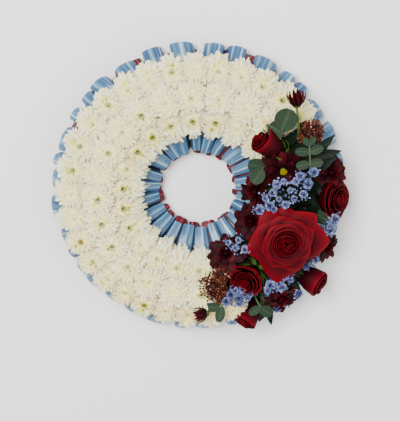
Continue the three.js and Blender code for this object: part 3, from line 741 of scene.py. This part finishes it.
def rose_petal(build, place, turn, edge, height, depth, span, roll, point, opened, seed,
               base_shade=2.4):
    """One petal: a wall that rises from the rose's base and turns out to its rim at edge.

    span is half its width in radians, roll the size of its rolled rim, point how pointed its
    tip is, opened how far it leans out, both from 0 to 1, and base_shade how soon painted shade
    darkens it towards its base.
    """
    centre, axis, along, across = place
    v = np.linspace(0, 1, 11)[:, None]
    u = np.linspace(-1, 1, 15)[None, :]
    closed_out = edge * (0.32 + 0.7 * np.sin(0.72 * math.pi * v ** 0.8))
    open_out = edge * (0.24 + 0.76 * v ** 1.35)
    closed_up = height - depth * (1 - v)
    open_up = height - depth * (1 - v) ** 2.4 - 0.07 * edge * v ** 3
    out = closed_out + (open_out - closed_out) * opened
    up = closed_up + (open_up - closed_up) * opened
    rolled = np.clip((v - 0.76) / 0.24, 0, 1) * math.pi / 2
    out = out + roll * np.sin(rolled)
    up = up - roll * 1.3 * (1 - np.cos(rolled))
    side = np.abs(u)
    out = out * (1 - (0.27 * point * side + 0.04 * (1 - point) * side ** 3) * v ** 1.5)
    up = up - (0.05 + 0.1 * opened) * edge * side ** 2.6 * v ** 2
    tip = np.exp(-(u / 0.2) ** 2) * np.sin(rolled) * point
    out = out + tip * 2.4 * MM
    up = up - tip * 0.6 * MM
    wave = 0.4 * MM * np.sin(u * 5 + seed * 40) * v * (0.4 + opened)
    wave = wave + (seed - 0.5) * 0.2 * edge * opened * u * v
    angle = turn + u * span * (0.62 + 0.38 * v)
    grid = (centre + (out * np.cos(angle))[..., None] * along
            + (out * np.sin(angle))[..., None] * across + (up + wave)[..., None] * axis)
    # Painted shade darkens each petal towards its base, in the crevices between petals, and a
    # painted highlight lightens its rolled rim; it is also a little darker towards its sides.
    tints = 0.03 + 0.62 * v ** base_shade + 0.16 * np.sin(rolled) - 0.06 * side + 0.08 * opened * v
    shell(build, grid, 0.5 * MM, np.clip(tints, 0, 0.9), seed)


def rose(build, centre, axis, top, radius, counts, openness, dice, tips, depth):
    """A rose: a tight spiral heart, whorls that open round it and an outermost whorl.

    counts are the petals of the heart, the whorls and the outermost whorl, tips may give the
    angle and reach of each outermost petal, and depth is how far these go below the centre.
    """
    along, across = axes_of(axis)
    place = (centre, axis, along, across)
    heart_count, ring_count, outer_count = counts
    heart = 0.32 * radius
    turn = dice.uniform(0, 6)
    for number in range(heart_count):
        share = (number + 0.5) / heart_count
        edge = 0.045 * radius + (heart - 0.045 * radius) * share
        turn += math.radians(dice.uniform(125, 150))
        height = top - 1.6 * MM * (1 - share) * (0.4 + openness) + dice.uniform(-0.5, 0.5) * MM
        rose_petal(build, place, turn, edge, height, 9 * MM, math.radians(104 - 22 * share),
                   0.35 * MM + 0.4 * MM * share, 0.1, 0.12, dice.uniform(0, 1))
    for number in range(ring_count):
        share = (number + 0.5) / ring_count
        edge = heart + (0.84 * radius - heart) * share ** 1.05
        turn += math.radians(137.5 + dice.uniform(-9, 9))
        edge = edge * dice.uniform(0.95, 1.05)
        height = top - openness * top * 0.34 * share ** 1.6 + dice.uniform(-0.9, 0.9) * MM
        opened = 0.15 + openness * 0.75 * share ** 0.55
        rose_petal(build, place, turn, edge, height, 14 * MM + 6 * MM * share,
                   math.radians(76 - 18 * share), (1.1 + 1.6 * share * openness) * MM,
                   openness * 0.75 * share, opened, dice.uniform(0, 1), 2.8)
    lean = math.atan2(along[1], along[0])
    for number in range(outer_count):
        if tips:
            heading, edge = tips[number]
            angle = math.radians(heading) - lean
        else:
            angle = turn + (number + 0.5) / outer_count * 2 * math.pi
            edge = radius * dice.uniform(0.96, 1.04)
        drop = openness * top * (0.42 + 0.14 * (number % 2))
        roll = (1.0 + 2.4 * openness) * MM
        rose_petal(build, place, angle, edge - roll, top - drop - (1 - openness) * 2 * MM,
                   top + depth - drop, math.radians(88 - 40 * openness), roll, openness,
                   0.2 + 0.8 * openness, dice.uniform(0, 1), 0.9 + 1.5 * openness)


def sepals(build, centre, axis, radius, length, dice, count=5):
    """Green sepals and the hip under a rose."""
    level = around(evenly(count) + 0.4, *axes_of(axis))
    roots = centre + level * radius * 0.3
    handles = centre + level * radius * 1.9 + axis * length * 0.1
    tips = centre + level * radius * 2.1 + axis * length * 0.8
    shape = np.array([0.7, 1.0, 0.9, 0.6, 0.3, 0.06]) * 3.2 * MM
    blades(build, bezier(roots, handles, tips, 6), unit(np.cross(axis, level)), shape, 0.35 * MM,
           -0.2, 1.0, dice.uniform(0, 1, count))
    bead(build, centre - axis * 2 * MM, axis, radius * 0.4, 5 * MM, 1.0, 0.5)


ROSES = {
    "large_rose": dict(radius=CROWN / MM - 3, angle=-25, rise=28, aim=-60, tilt=5, top=25,
                       spread=43, counts=(11, 22, 6), openness=1.0,
                       tips=[(129, 44), (92, 41), (43, 46), (-4, 52), (-100, 52), (-163, 46)]),
    "rose_upper_left": dict(radius=CROWN / MM - 11, angle=37, rise=27, aim=142, tilt=70, top=21,
                            spread=18, counts=(5, 6, 4), openness=0.1, depth=18),
    "rose_right": dict(radius=FOAM_OUTER / MM + 8, angle=-1.5, rise=3, aim=2, tilt=48, top=20,
                       spread=27, counts=(7, 10, 5), openness=0.4, depth=24),
    "rose_lower_left": dict(radius=CROWN / MM - 1.5, angle=-58, rise=20, aim=215, tilt=30, top=18,
                            spread=23, counts=(7, 10, 5), openness=0.4, depth=18),
    "rose_lower_right": dict(radius=FOAM_OUTER / MM + 22, angle=-38, rise=-5, aim=-27, tilt=62,
                             top=23, spread=18, counts=(5, 6, 4), openness=0.1, depth=16),
    "rose_bottom": dict(radius=FOAM_OUTER / MM + 13, angle=-66, rise=-5, aim=-124, tilt=62,
                        top=23, spread=16, counts=(5, 6, 4), openness=0.1, depth=16),
}


def make_roses():
    dice = np.random.default_rng(5)
    for name, spec in ROSES.items():
        centre, axis = placed(spec)
        top, spread = spec["top"] * MM, spec["spread"] * MM
        build = Build()
        tips = [(angle, reach * MM) for angle, reach in spec.get("tips", [])]
        depth = spec.get("depth", 12) * MM
        rose(build, centre, axis, top, spread, spec["counts"], spec["openness"], dice, tips, depth)
        base = centre - axis * (depth + 2 * MM)
        sepals(build, base, axis, spread * (0.55 - 0.2 * spec["openness"]), top * 0.9, dice)
        build.piece(name + "_petals", "red_petals", name)


# Burgundy daisies and buds

DISC_FLORETS = 34
DAISIES = [
    dict(radius=CROWN / MM - 11, angle=19, rise=27, aim=-80, tilt=22, spread=29),
    dict(radius=FOAM_INNER / MM - 16, angle=5, rise=12, aim=190, tilt=35, spread=23),
    dict(radius=FOAM_INNER / MM - 14, angle=-25, rise=14, aim=160, tilt=35, spread=28),
    dict(radius=FOAM_INNER / MM - 7, angle=-64, rise=16, aim=130, tilt=30, spread=26),
    dict(radius=FOAM_OUTER / MM + 15, angle=-52, rise=6, aim=-52, tilt=35, spread=24),
    dict(radius=FOAM_OUTER / MM + 18, angle=-22.5, rise=2, aim=-20, tilt=40, spread=22),
    dict(radius=FOAM_OUTER / MM + 12, angle=10, rise=8, aim=40, tilt=30, spread=24),
]


def daisy(build, centre, axis, spread, dice, closed):
    """Whorls of broad flat petals round a disc of tiny green-yellow florets, which in a closed
    head stays under its innermost petals."""
    along, across = axes_of(axis)
    whorls = [(11, 1.0, -2.0, 0.2), (9, 0.92, 0.5, 0.19), (7, 0.68, 3.0, 0.17)]
    if closed:
        whorls.append((8, 0.42, 3.5, 0.12))
    for whorl, (count, share, lift, broad) in enumerate(whorls):
        turn = evenly(count) + whorl * 0.31 + dice.normal(0, 0.1, count)
        level = around(turn, along, across)
        reach = spread * share * dice.uniform(0.84, 1.05, count)[:, None]
        roots = centre + level * 2.5 * MM - axis * 1.5 * MM
        handles = centre + level * reach * 0.5 + axis * (lift + 3.5) * MM
        tips = centre + level * reach + axis * dice.uniform(-4, 5, count)[:, None] * MM
        tips = tips + axis * lift * MM
        if share < 0.5:
            tips = centre + level * reach * 0.62 + axis * (lift * MM + reach * 0.55)
            handles = centre + level * reach * 0.5 + axis * lift * MM
        paths = bezier(roots, handles, tips, 9)
        sides = unit(np.cross(axis, level) + dice.normal(0, 0.12, (count, 3)))
        shape = np.array([0.3, 0.48, 0.7, 0.88, 1.0, 1.0, 0.9, 0.68, 0.26])
        wide = dice.uniform(0.9, 1.1, count)[:, None] * broad * spread * shape
        tints = np.linspace(0.05, 0.56, 9) + dice.uniform(-0.08, 0.12, (count, 1))
        tints = tints + 0.06 * whorl
        blades(build, paths, sides, wide, 0.3 * MM, 0.24, np.clip(tints, 0, 0.68),
               dice.uniform(0, 1, count))
    if closed:
        bead(build, centre + axis * 1 * MM, axis, 3.6 * MM, 4.5 * MM, 0.3, 0.4)
        return
    for place in range(DISC_FLORETS):
        out = 4.2 * MM * math.sqrt((place + 0.5) / DISC_FLORETS)
        level = around(place * GOLDEN_ANGLE, along, across)
        foot = centre + level * out + axis * (2.5 * MM + 2.2 * MM * (1 - (out / (5 * MM)) ** 2))
        bead(build, foot, axis, 0.55 * MM, 1.4 * MM, 0.8 + 0.1 * (place % 2), 1.0, 5, 3)


def make_daisies():
    dice = np.random.default_rng(11)
    for number, spec in enumerate(DAISIES, 1):
        centre, axis = placed(spec)
        build = Build()
        daisy(build, centre, axis, spec["spread"] * MM, dice, number > 1)
        root = on_foam(CROWN / MM, spec["angle"], 1)
        stem = bezier(root, (root + centre) / 2 - axis * 6 * MM, centre - axis * 2 * MM, 9)[0]
        tube(build, stem, 1.6 * MM, 1.0, dice.uniform(0.3, 1))
        bead(build, centre - axis * 3 * MM, axis, 5 * MM, 3.4 * MM, 1.0, 0.6)
        name = f"burgundy_daisy_{number}"
        build.piece(name + "_petals", "burgundy_petals", name)
    make_burgundy_buds(dice)


BUDS = {
    "burgundy_bud_top": dict(stem=[(137, 31.5, 1), (139, 32, 18), (147, 37, 34), (160, 44.5, 40)],
                             aim=95, tilt=75, length=17),
    "burgundy_bud_lower_left": dict(stem=[(133, -76, 1), (137, -78, 12), (143, -85, 22)],
                                    aim=190, tilt=82, length=16),
}


def smooth_path(points, steps):
    """Points along a smooth curve through a few given ones."""
    points = np.asarray(points, float)
    padded = np.concatenate([[2 * points[0] - points[1]], points, [2 * points[-1] - points[-2]]])
    made = []
    for place in range(len(points) - 1):
        a, b, c, d = padded[place:place + 4]
        for t in np.linspace(0, 1, steps, endpoint=False):
            made.append(0.5 * (2 * b + (c - a) * t + (2 * a - 5 * b + 4 * c - d) * t ** 2
                               + (3 * b - a - 3 * c + d) * t ** 3))
    made.append(points[-1])
    return np.array(made)


def ring_points(stem):
    return [on_foam(*point) for point in stem]


def make_burgundy_buds(dice):
    for name, spec in BUDS.items():
        path = smooth_path(ring_points(spec["stem"]), 6)
        tip = path[-1]
        axis = leaning(spec["aim"], spec["tilt"])
        length = spec["length"] * MM
        build = Build()
        tube(build, path, 1.3 * MM, 1.0, 0.7)
        for count, spread, reach in ((12, 0.66, 1.05), (9, 0.42, 1.1), (6, 0.2, 0.95)):
            level = around(evenly(count) + spread, *axes_of(axis))
            end = length * reach * dice.uniform(0.9, 1.08, count)[:, None]
            roots = tip + level * 1.5 * MM
            handles = tip + level * length * spread * 1.1 + axis * length * 0.35
            tips = tip + level * length * spread + axis * end
            shape = np.array([0.6, 0.9, 1.0, 0.95, 0.75, 0.3]) * 1.9 * MM
            blades(build, bezier(roots, handles, tips, 6), unit(np.cross(axis, level)), shape,
                   0.3 * MM, 0.3, np.linspace(0.15, 0.68, 6), dice.uniform(0, 1, count))
        bead(build, tip + axis * 1.5 * MM, axis, 5.2 * MM, 2.8 * MM, 1.0, 0.5)
        build.piece(name + "_petals", "burgundy_petals", name)


# Skimmia

SKIMMIA = {
    "skimmia_top": dict(radius=FOAM_OUTER / MM + 3.5, angle=30.5, rise=16, aim=40, tilt=12,
                        spread=16),
    "skimmia_lower_left": dict(radius=CROWN / MM - 3, angle=-81, rise=16, aim=230, tilt=10,
                               spread=19, second=dict(radius=98, angle=-73, rise=20, aim=100,
                                                      tilt=20, spread=11)),
}


def parts_of(whole):
    """A flower's own sizes, and those of its second part if it has one."""
    return [whole] + ([whole["second"]] if "second" in whole else [])


def bud_head(build, spec, dice):
    """One head of many small buds on short stalks, with its stem."""
    centre, axis = placed(spec)
    along, across = axes_of(axis)
    spread = spec["spread"] * MM
    # The round core under the buds is painted near black: painted shade inside the cluster.
    bead(build, centre, axis, spread * 0.66, spread * 0.64, 0.05, 0.4, 14, 8)
    total = round(0.75 * spec["spread"] ** 2)
    for place in range(total):
        polar = math.radians(104 * math.sqrt((place + 0.5) / total))
        turn = place * GOLDEN_ANGLE
        aim = aimed(polar, axis, around(turn, along, across))
        reach = spread * dice.uniform(0.86, 1.08) * (0.92 + 0.1 * math.cos(5 * turn + 6 * polar))
        seed = dice.uniform(0, 1)
        spot = centre + aim * reach
        bead(build, spot, unit(aim + dice.normal(0, 0.2, 3)), 1.25 * MM, 1.7 * MM,
             0.92 if place % 17 == 7 else dice.uniform(0.15, 0.85), seed, 6, 3)
        tube(build, [centre + aim * reach * 0.4, spot], 0.45 * MM, 0.35, seed, 4)
    root = on_foam(CROWN / MM, spec["angle"], 1)
    tube(build, bezier(root, (root + centre) / 2, centre, 5)[0], 1.8 * MM, 1.0, 0.5)


def make_skimmia():
    dice = np.random.default_rng(23)
    for name, whole in SKIMMIA.items():
        build = Build()
        for spec in parts_of(whole):
            bud_head(build, spec, dice)
        build.piece(name + "_buds", "skimmia_buds", name)


# Gypsophila

GYPSOPHILA = {
    "gypsophila_upper": dict(stem=[(112, 2, 1), (108, 4, 40)], florets=[
        (94, 13, 42), (96, 2, 43), (117, 12, 43), (124, 4, 40), (80, 3, 37), (109, 8, 44),
        (103, 14, 43), (88, 7, 42), (131, 9, 40), (113, 2, 44), (103, -1, 44), (75, -8, 36),
        (84, -3, 38), (124, 14, 41), (139, 14, 38), (91, -6, 38)]),
    "gypsophila_right": dict(stem=[(140, -13, 3), (157, -12, 22)], florets=[
        (161, -12, 24), (157, -16, 26), (166, -9, 20), (163, -15, 20)]),
    "gypsophila_below": dict(stem=[(137, -47, 1), (142, -47, 26)], florets=[
        (143, -48, 29), (140, -43, 30), (141, -53, 29), (149, -47, 26), (136, -50, 30),
        (149, -41, 24), (157, -33, 18), (163, -29, 14), (174, -46, 2), (177, -51, -2),
        (172, -56, -2)]),
    "gypsophila_lower_left": dict(stem=[(128, -66, 1), (131, -67, 22)], florets=[
        (132, -68, 25), (137, -64, 25), (126, -71, 26), (140, -69, 22), (133, -62, 25),
        (131, -75, 24), (121, -68, 27), (124, -64, 27)],
        second=dict(stem=[(97, -47, 1), (88, -49, 24)], florets=[
            (64, -55, 27), (76, -52, 28), (83, -47, 31), (88, -42, 30), (72, -46, 27)])),
}


FLORET_PETALS = 26
BUDS_PER_FLORET = 9


def floret(build, centre, axis, radius, dice):
    """A double floret: a ball of small round petals."""
    count = FLORET_PETALS
    place = np.arange(count)
    polar = np.radians(12 + 98 * np.sqrt((place + 0.5) / count))
    level = around(place * GOLDEN_ANGLE, *axes_of(axis))
    aim = aimed(polar, axis, level)
    tips = centre + aim * radius * dice.uniform(0.85, 1.1, count)[:, None]
    handles = centre + aim * radius * 0.5 + axis * radius * 0.25
    paths = bezier(centre - axis * radius * 0.3, handles, tips, 5)
    sides = unit(np.cross(axis, level) + dice.normal(0, 0.3, (count, 3)))
    shape = np.array([0.25, 0.6, 1.0, 1.05, 0.5]) * radius * 0.34
    # Petals run from dark at the floret's middle, painted shade between them, to light tips, a
    # painted highlight.
    tints = np.linspace(0.1, 0.7, 5) + dice.uniform(-0.2, 0.2, (count, 1))
    blades(build, paths, sides, shape, 0.2 * MM, 0.3, np.clip(tints, 0, 0.9),
           dice.uniform(0.2, 1) * dice.uniform(0.6, 1, count))


def gypsophila_stem(build, spec, dice):
    """One stem that forks into florets and their small buds."""
    stem = ring_points(spec["stem"])
    tube(build, smooth_path(stem, 5), 0.9 * MM, 1.0, 0.6)
    fork = stem[-1]
    start = stem[0] * 0.35 + fork * 0.65
    for spot in spec["florets"]:
        tip = on_foam(*spot) + dice.normal(0, 0.8 * MM, 3)
        axis = unit(unit(tip - start) + np.array([0, 0, 1.2]))
        path = bezier(start, (start + tip) / 2 - axis * 3 * MM, tip - axis * 3 * MM, 6)[0]
        tube(build, path, 0.4 * MM, 1.0, 0.6, 4)
        floret(build, tip, axis, dice.uniform(3.4, 6.6) * MM, dice)
        for _ in range(BUDS_PER_FLORET):
            side = unit(dice.normal(0, 1, 3) + axis * 0.2)
            end = tip + (side * dice.uniform(5, 11) - axis * 2) * MM
            tube(build, [path[3], (path[4] + end) / 2, end], 0.25 * MM, 1.0, 0.6, 4)
            size = dice.uniform(0.7, 1.3) * MM
            bead(build, end, side, size, size * 1.2, dice.uniform(0.3, 0.9),
                 dice.uniform(0.3, 1), 6, 3)


def make_gypsophila():
    dice = np.random.default_rng(37)
    for name, whole in GYPSOPHILA.items():
        build = Build()
        for spec in parts_of(whole):
            gypsophila_stem(build, spec, dice)
        build.piece(name + "_sprays", "blue_gypsophila", name)


# Leaves


def leaf(build, start, heading, tilt, length, width, pointed, dice):
    """A closed thin leaf from its base forwards, round or pointed, folded at its midrib."""
    base, forward = on_foam(*start), unit(leaning(heading, tilt))
    length, width = length * MM, width * MM
    sideways = unit(np.cross(np.array([0.0, 0.0, 1.0]), forward))
    normal = np.cross(forward, sideways)
    rows, columns = 12, 9
    t = np.linspace(0, 1, rows)[:, None]
    s = np.linspace(-1, 1, columns)[None, :]
    if pointed:
        half = np.sin(math.pi * np.clip(t, 0.02, 0.985) ** 0.8) ** 0.85
    else:
        half = np.sqrt(np.clip(1 - (2 * np.clip(t, 0.02, 0.98) - 1) ** 2, 0, 1)) ** 0.85
    side = s * half * width / 2
    bend = dice.uniform(-0.02, 0.16) * length * (t * t)
    lift = 0.14 * np.abs(side) - bend + 0.15 * MM * np.sin(t * 19 + s * 4)
    grid = (base + (t * length)[..., None] * forward + side[..., None] * sideways
            + (lift + 0 * s)[..., None] * normal)
    rib = np.clip(1 - np.abs(s) * 6, 0, 1) * np.ones_like(t)
    tints = np.clip(0.35 + 0.28 * rib + 0.12 * np.sin(t * 26 - np.abs(s) * 8), 0, 1)
    shell(build, grid, 0.45 * MM, tints, dice.uniform(0, 1))


SPRIGS = {
    "eucalyptus_top": dict(stem=[(127, 34.5, 1), (126, 36, 22), (129, 41, 36)], leaves=[
        ((129, 41, 36), 70, 80, 27, 27), ((127.5, 38.5, 31), 150, 80, 20, 24)]),
    "eucalyptus_sprig": dict(
        stem=[(133, 8, 1), (135, 10, 26), (138, 18, 38), (146, 27.5, 42)], leaves=[
            ((138, 19, 38.5), 10, 80, 16, 11), ((138, 19, 38.5), 190, 80, 16, 11),
            ((142.5, 24.5, 41), 20, 80, 17, 11), ((142.5, 24.5, 41), 175, 80, 17, 11),
            ((146, 27.5, 42), 60, 75, 12, 8), ((146, 27.5, 42), 130, 75, 12, 8)]),
    "eucalyptus_left": dict(stem=[(104, 28, 1), (92, 27, 20), (84, 26, 30)], leaves=[
        ((86, 26.3, 27.5), 165, 80, 19, 18), ((84, 26, 30), 235, 80, 20, 18)]),
    "eucalyptus_lower_left": dict(stem=[(128, -72, 1), (132, -74, 20), (138, -79, 25)], leaves=[
        ((138, -79, 25), 175, 80, 18, 12), ((137, -78, 24.5), 260, 80, 20, 12)]),
    "eucalyptus_bottom": dict(stem=[(139, -61, 8), (150, -61, 16), (158, -61, 14)], leaves=[
        ((158, -61, 14), -40, 95, 19, 15), ((157, -61, 14.5), -140, 95, 17, 11)]),
    "dark_leaves_top": dict(pointed=True,
                            stem=[(131, 21, 1), (138, 21, 16), (146, 21, 23)], leaves=[
                                ((145, 21, 22.5), 45, 80, 36, 11),
                                ((145, 20.5, 22.5), 12, 80, 34, 11),
                                ((143, 20.5, 21), 100, 80, 24, 10)]),
    "dark_leaves_bottom": dict(pointed=True,
                               stem=[(141, -56.5, 6), (152, -57.5, 6), (162, -58, 2)], leaves=[
                                   ((162, -58, 2), -80, 96, 32, 9),
                                   ((160, -57.9, 2.8), -110, 96, 28, 12)]),
}


# Small leaves low between the flowers: their sprig, and each one's base, heading, tilt, length
# and width
LOW_LEAVES = {
    "dark_leaves_top": [
        ((121, 30, 9), 60, 70, 27, 13), ((133, 15, 9), 15, 72, 28, 13),
        ((132, 5, 8), -12, 75, 28, 13), ((117, 19, 9), 110, 75, 24, 12),
        ((124, 9, 7), 165, 80, 22, 11), ((133, -1, 8), -35, 75, 24, 12),
        ((110, -2, 6), 200, 75, 22, 11), ((128, -5, 7), 250, 78, 24, 12),
        ((133, 13, 13), 28, 82, 40, 15), ((112, 12, 7), 60, 76, 24, 12),
        ((127, 22, 9), 75, 76, 24, 12), ((118, 4, 7), 300, 78, 24, 12),
        ((132, -3, 4), 80, 40, 36, 17), ((126, 7, 4), -60, 42, 36, 18),
        ((120, -4, 4), 110, 38, 34, 17), ((122, 9, 4), -90, 36, 36, 18),
        ((112, 5, 4), 120, 40, 32, 16), ((128, 2, 4), 170, 34, 38, 18),
        ((133, -13, 3), 60, 45, 32, 15), ((124, -9, 4), -100, 32, 36, 18),
        ((128, -7, 4), 100, 25, 34, 18), ((118, -10, 4), 10, 30, 32, 16)],
    "dark_leaves_bottom": [
        ((134, -44, 1), -42, 86, 40, 17), ((134, -49, 0), -52, 87, 36, 15),
        ((134, -29, 1), -27, 86, 36, 16), ((134, -39, 1), -34, 86, 38, 16),
        ((127, -50, 7), 30, 75, 26, 12), ((132, -48, 6), -20, 75, 26, 12),
        ((131, -60, 6), 200, 75, 24, 11), ((123, -66, 7), 260, 78, 22, 11),
        ((132, -53, 5), -50, 85, 30, 12), ((131, -72, 5), -110, 85, 28, 11),
        ((131, -40, 7), 5, 78, 26, 12), ((132, -31, 5), -25, 80, 28, 12),
        ((118, -57, 6), 150, 78, 24, 11), ((124, -62, 7), -30, 80, 26, 12)],
    "eucalyptus_sprig": [
        ((133, -7, 12), -28, 78, 26, 14), ((133, -19, 10), -35, 84, 26, 14)],
}


def low_leaves(build, name, pointed, dice):
    """The sprig's small leaves, each on a stalk from the foam."""
    for start, *shape in LOW_LEAVES.get(name, []):
        base, root = on_foam(*start), on_foam(*start[:2], -2)
        tube(build, bezier(root, (root + base) / 2, base, 4)[0], 0.8 * MM, 0.6, 0.5, 5)
        leaf(build, start, *shape, pointed, dice)


def make_leaves():
    dice = np.random.default_rng(53)
    for name, spec in SPRIGS.items():
        build = Build()
        tube(build, smooth_path(ring_points(spec["stem"]), 5), 1.1 * MM, 0.9, 0.6)
        pointed = spec.get("pointed", False)
        for shape in spec["leaves"]:
            leaf(build, *shape, pointed, dice)
        low_leaves(build, name, pointed, dice)
        slot = "dark_foliage" if pointed else "eucalyptus"
        build.piece(name + "_leaves", slot, name)


make_foam()
make_ribbons()
make_white_heads()
make_roses()
make_daisies()
make_skimmia()
make_gypsophila()
make_leaves()

# Stage, light and camera

TILT = math.radians(12)
DISTANCE = 1.5
METRES_PER_PIXEL = 1.25 * MM
PHOTO_HEIGHT = 421
PHOTO_CENTRE = (200.0, 210.5)
RING_PIXEL = (198.0, 185.5)


def make_floor():
    mesh = bpy.data.meshes.new("floor")
    size = 6.0
    mesh.from_pydata([(-size, -size, 0), (size, -size, 0), (size, size, 0), (-size, size, 0)], [],
                     [(0, 1, 2, 3)])
    floor = add_object("floor", mesh)
    shader = Shader("floor")
    shader.colour(shader.ramp(shader.noise(3.0), [(0.0, [236.15] * 3), (1.0, [241.05] * 3)]))
    shader.set(Roughness=0.9)
    mesh.materials.append(shader.material)


def make_light(name, place, size, power):
    data = bpy.data.lights.new(name, "AREA")
    data.size = size
    data.energy = power
    light = add_object(name, data)
    light.location = place
    light.rotation_mode = "QUATERNION"
    light.rotation_quaternion = (-Vector(place)).to_track_quat("-Z", "Y")


def make_world():
    world = bpy.data.worlds.new("studio")
    world.use_nodes = True
    background = world.node_tree.nodes["Background"].inputs
    background["Color"].default_value = (1.0, 0.99, 0.97, 1)
    background["Strength"].default_value = 0.85
    bpy.context.scene.world = world


def make_camera():
    """The photograph's view: almost straight down, from the side of its upper edge."""
    data = bpy.data.cameras.new("camera")
    data.lens = data.sensor_width * DISTANCE / (PHOTO_HEIGHT * METRES_PER_PIXEL)
    camera = add_object("camera", data)
    ring = Vector((RING_X, RING_Y, 0))
    place = ring + Vector((0, math.sin(TILT), math.cos(TILT))) * DISTANCE
    offset_x = (PHOTO_CENTRE[0] - RING_PIXEL[0]) * METRES_PER_PIXEL
    offset_y = (RING_PIXEL[1] - PHOTO_CENTRE[1]) * METRES_PER_PIXEL / math.cos(TILT)
    aim = ring + Vector((offset_x, offset_y, 0))
    back = (place - aim).normalized()
    right = Vector((0, 1, 0)).cross(back).normalized()
    upward = back.cross(right)
    camera.matrix_world = Matrix((
        (right.x, upward.x, back.x, place.x),
        (right.y, upward.y, back.y, place.y),
        (right.z, upward.z, back.z, place.z),
        (0, 0, 0, 1),
    ))
    bpy.context.scene.camera = camera


make_floor()
make_light("key", (-0.6, 0.7, 1.9), 1.0, 82)
make_light("fill", (1.2, -0.6, 1.5), 1.6, 18)
make_world()
make_camera()
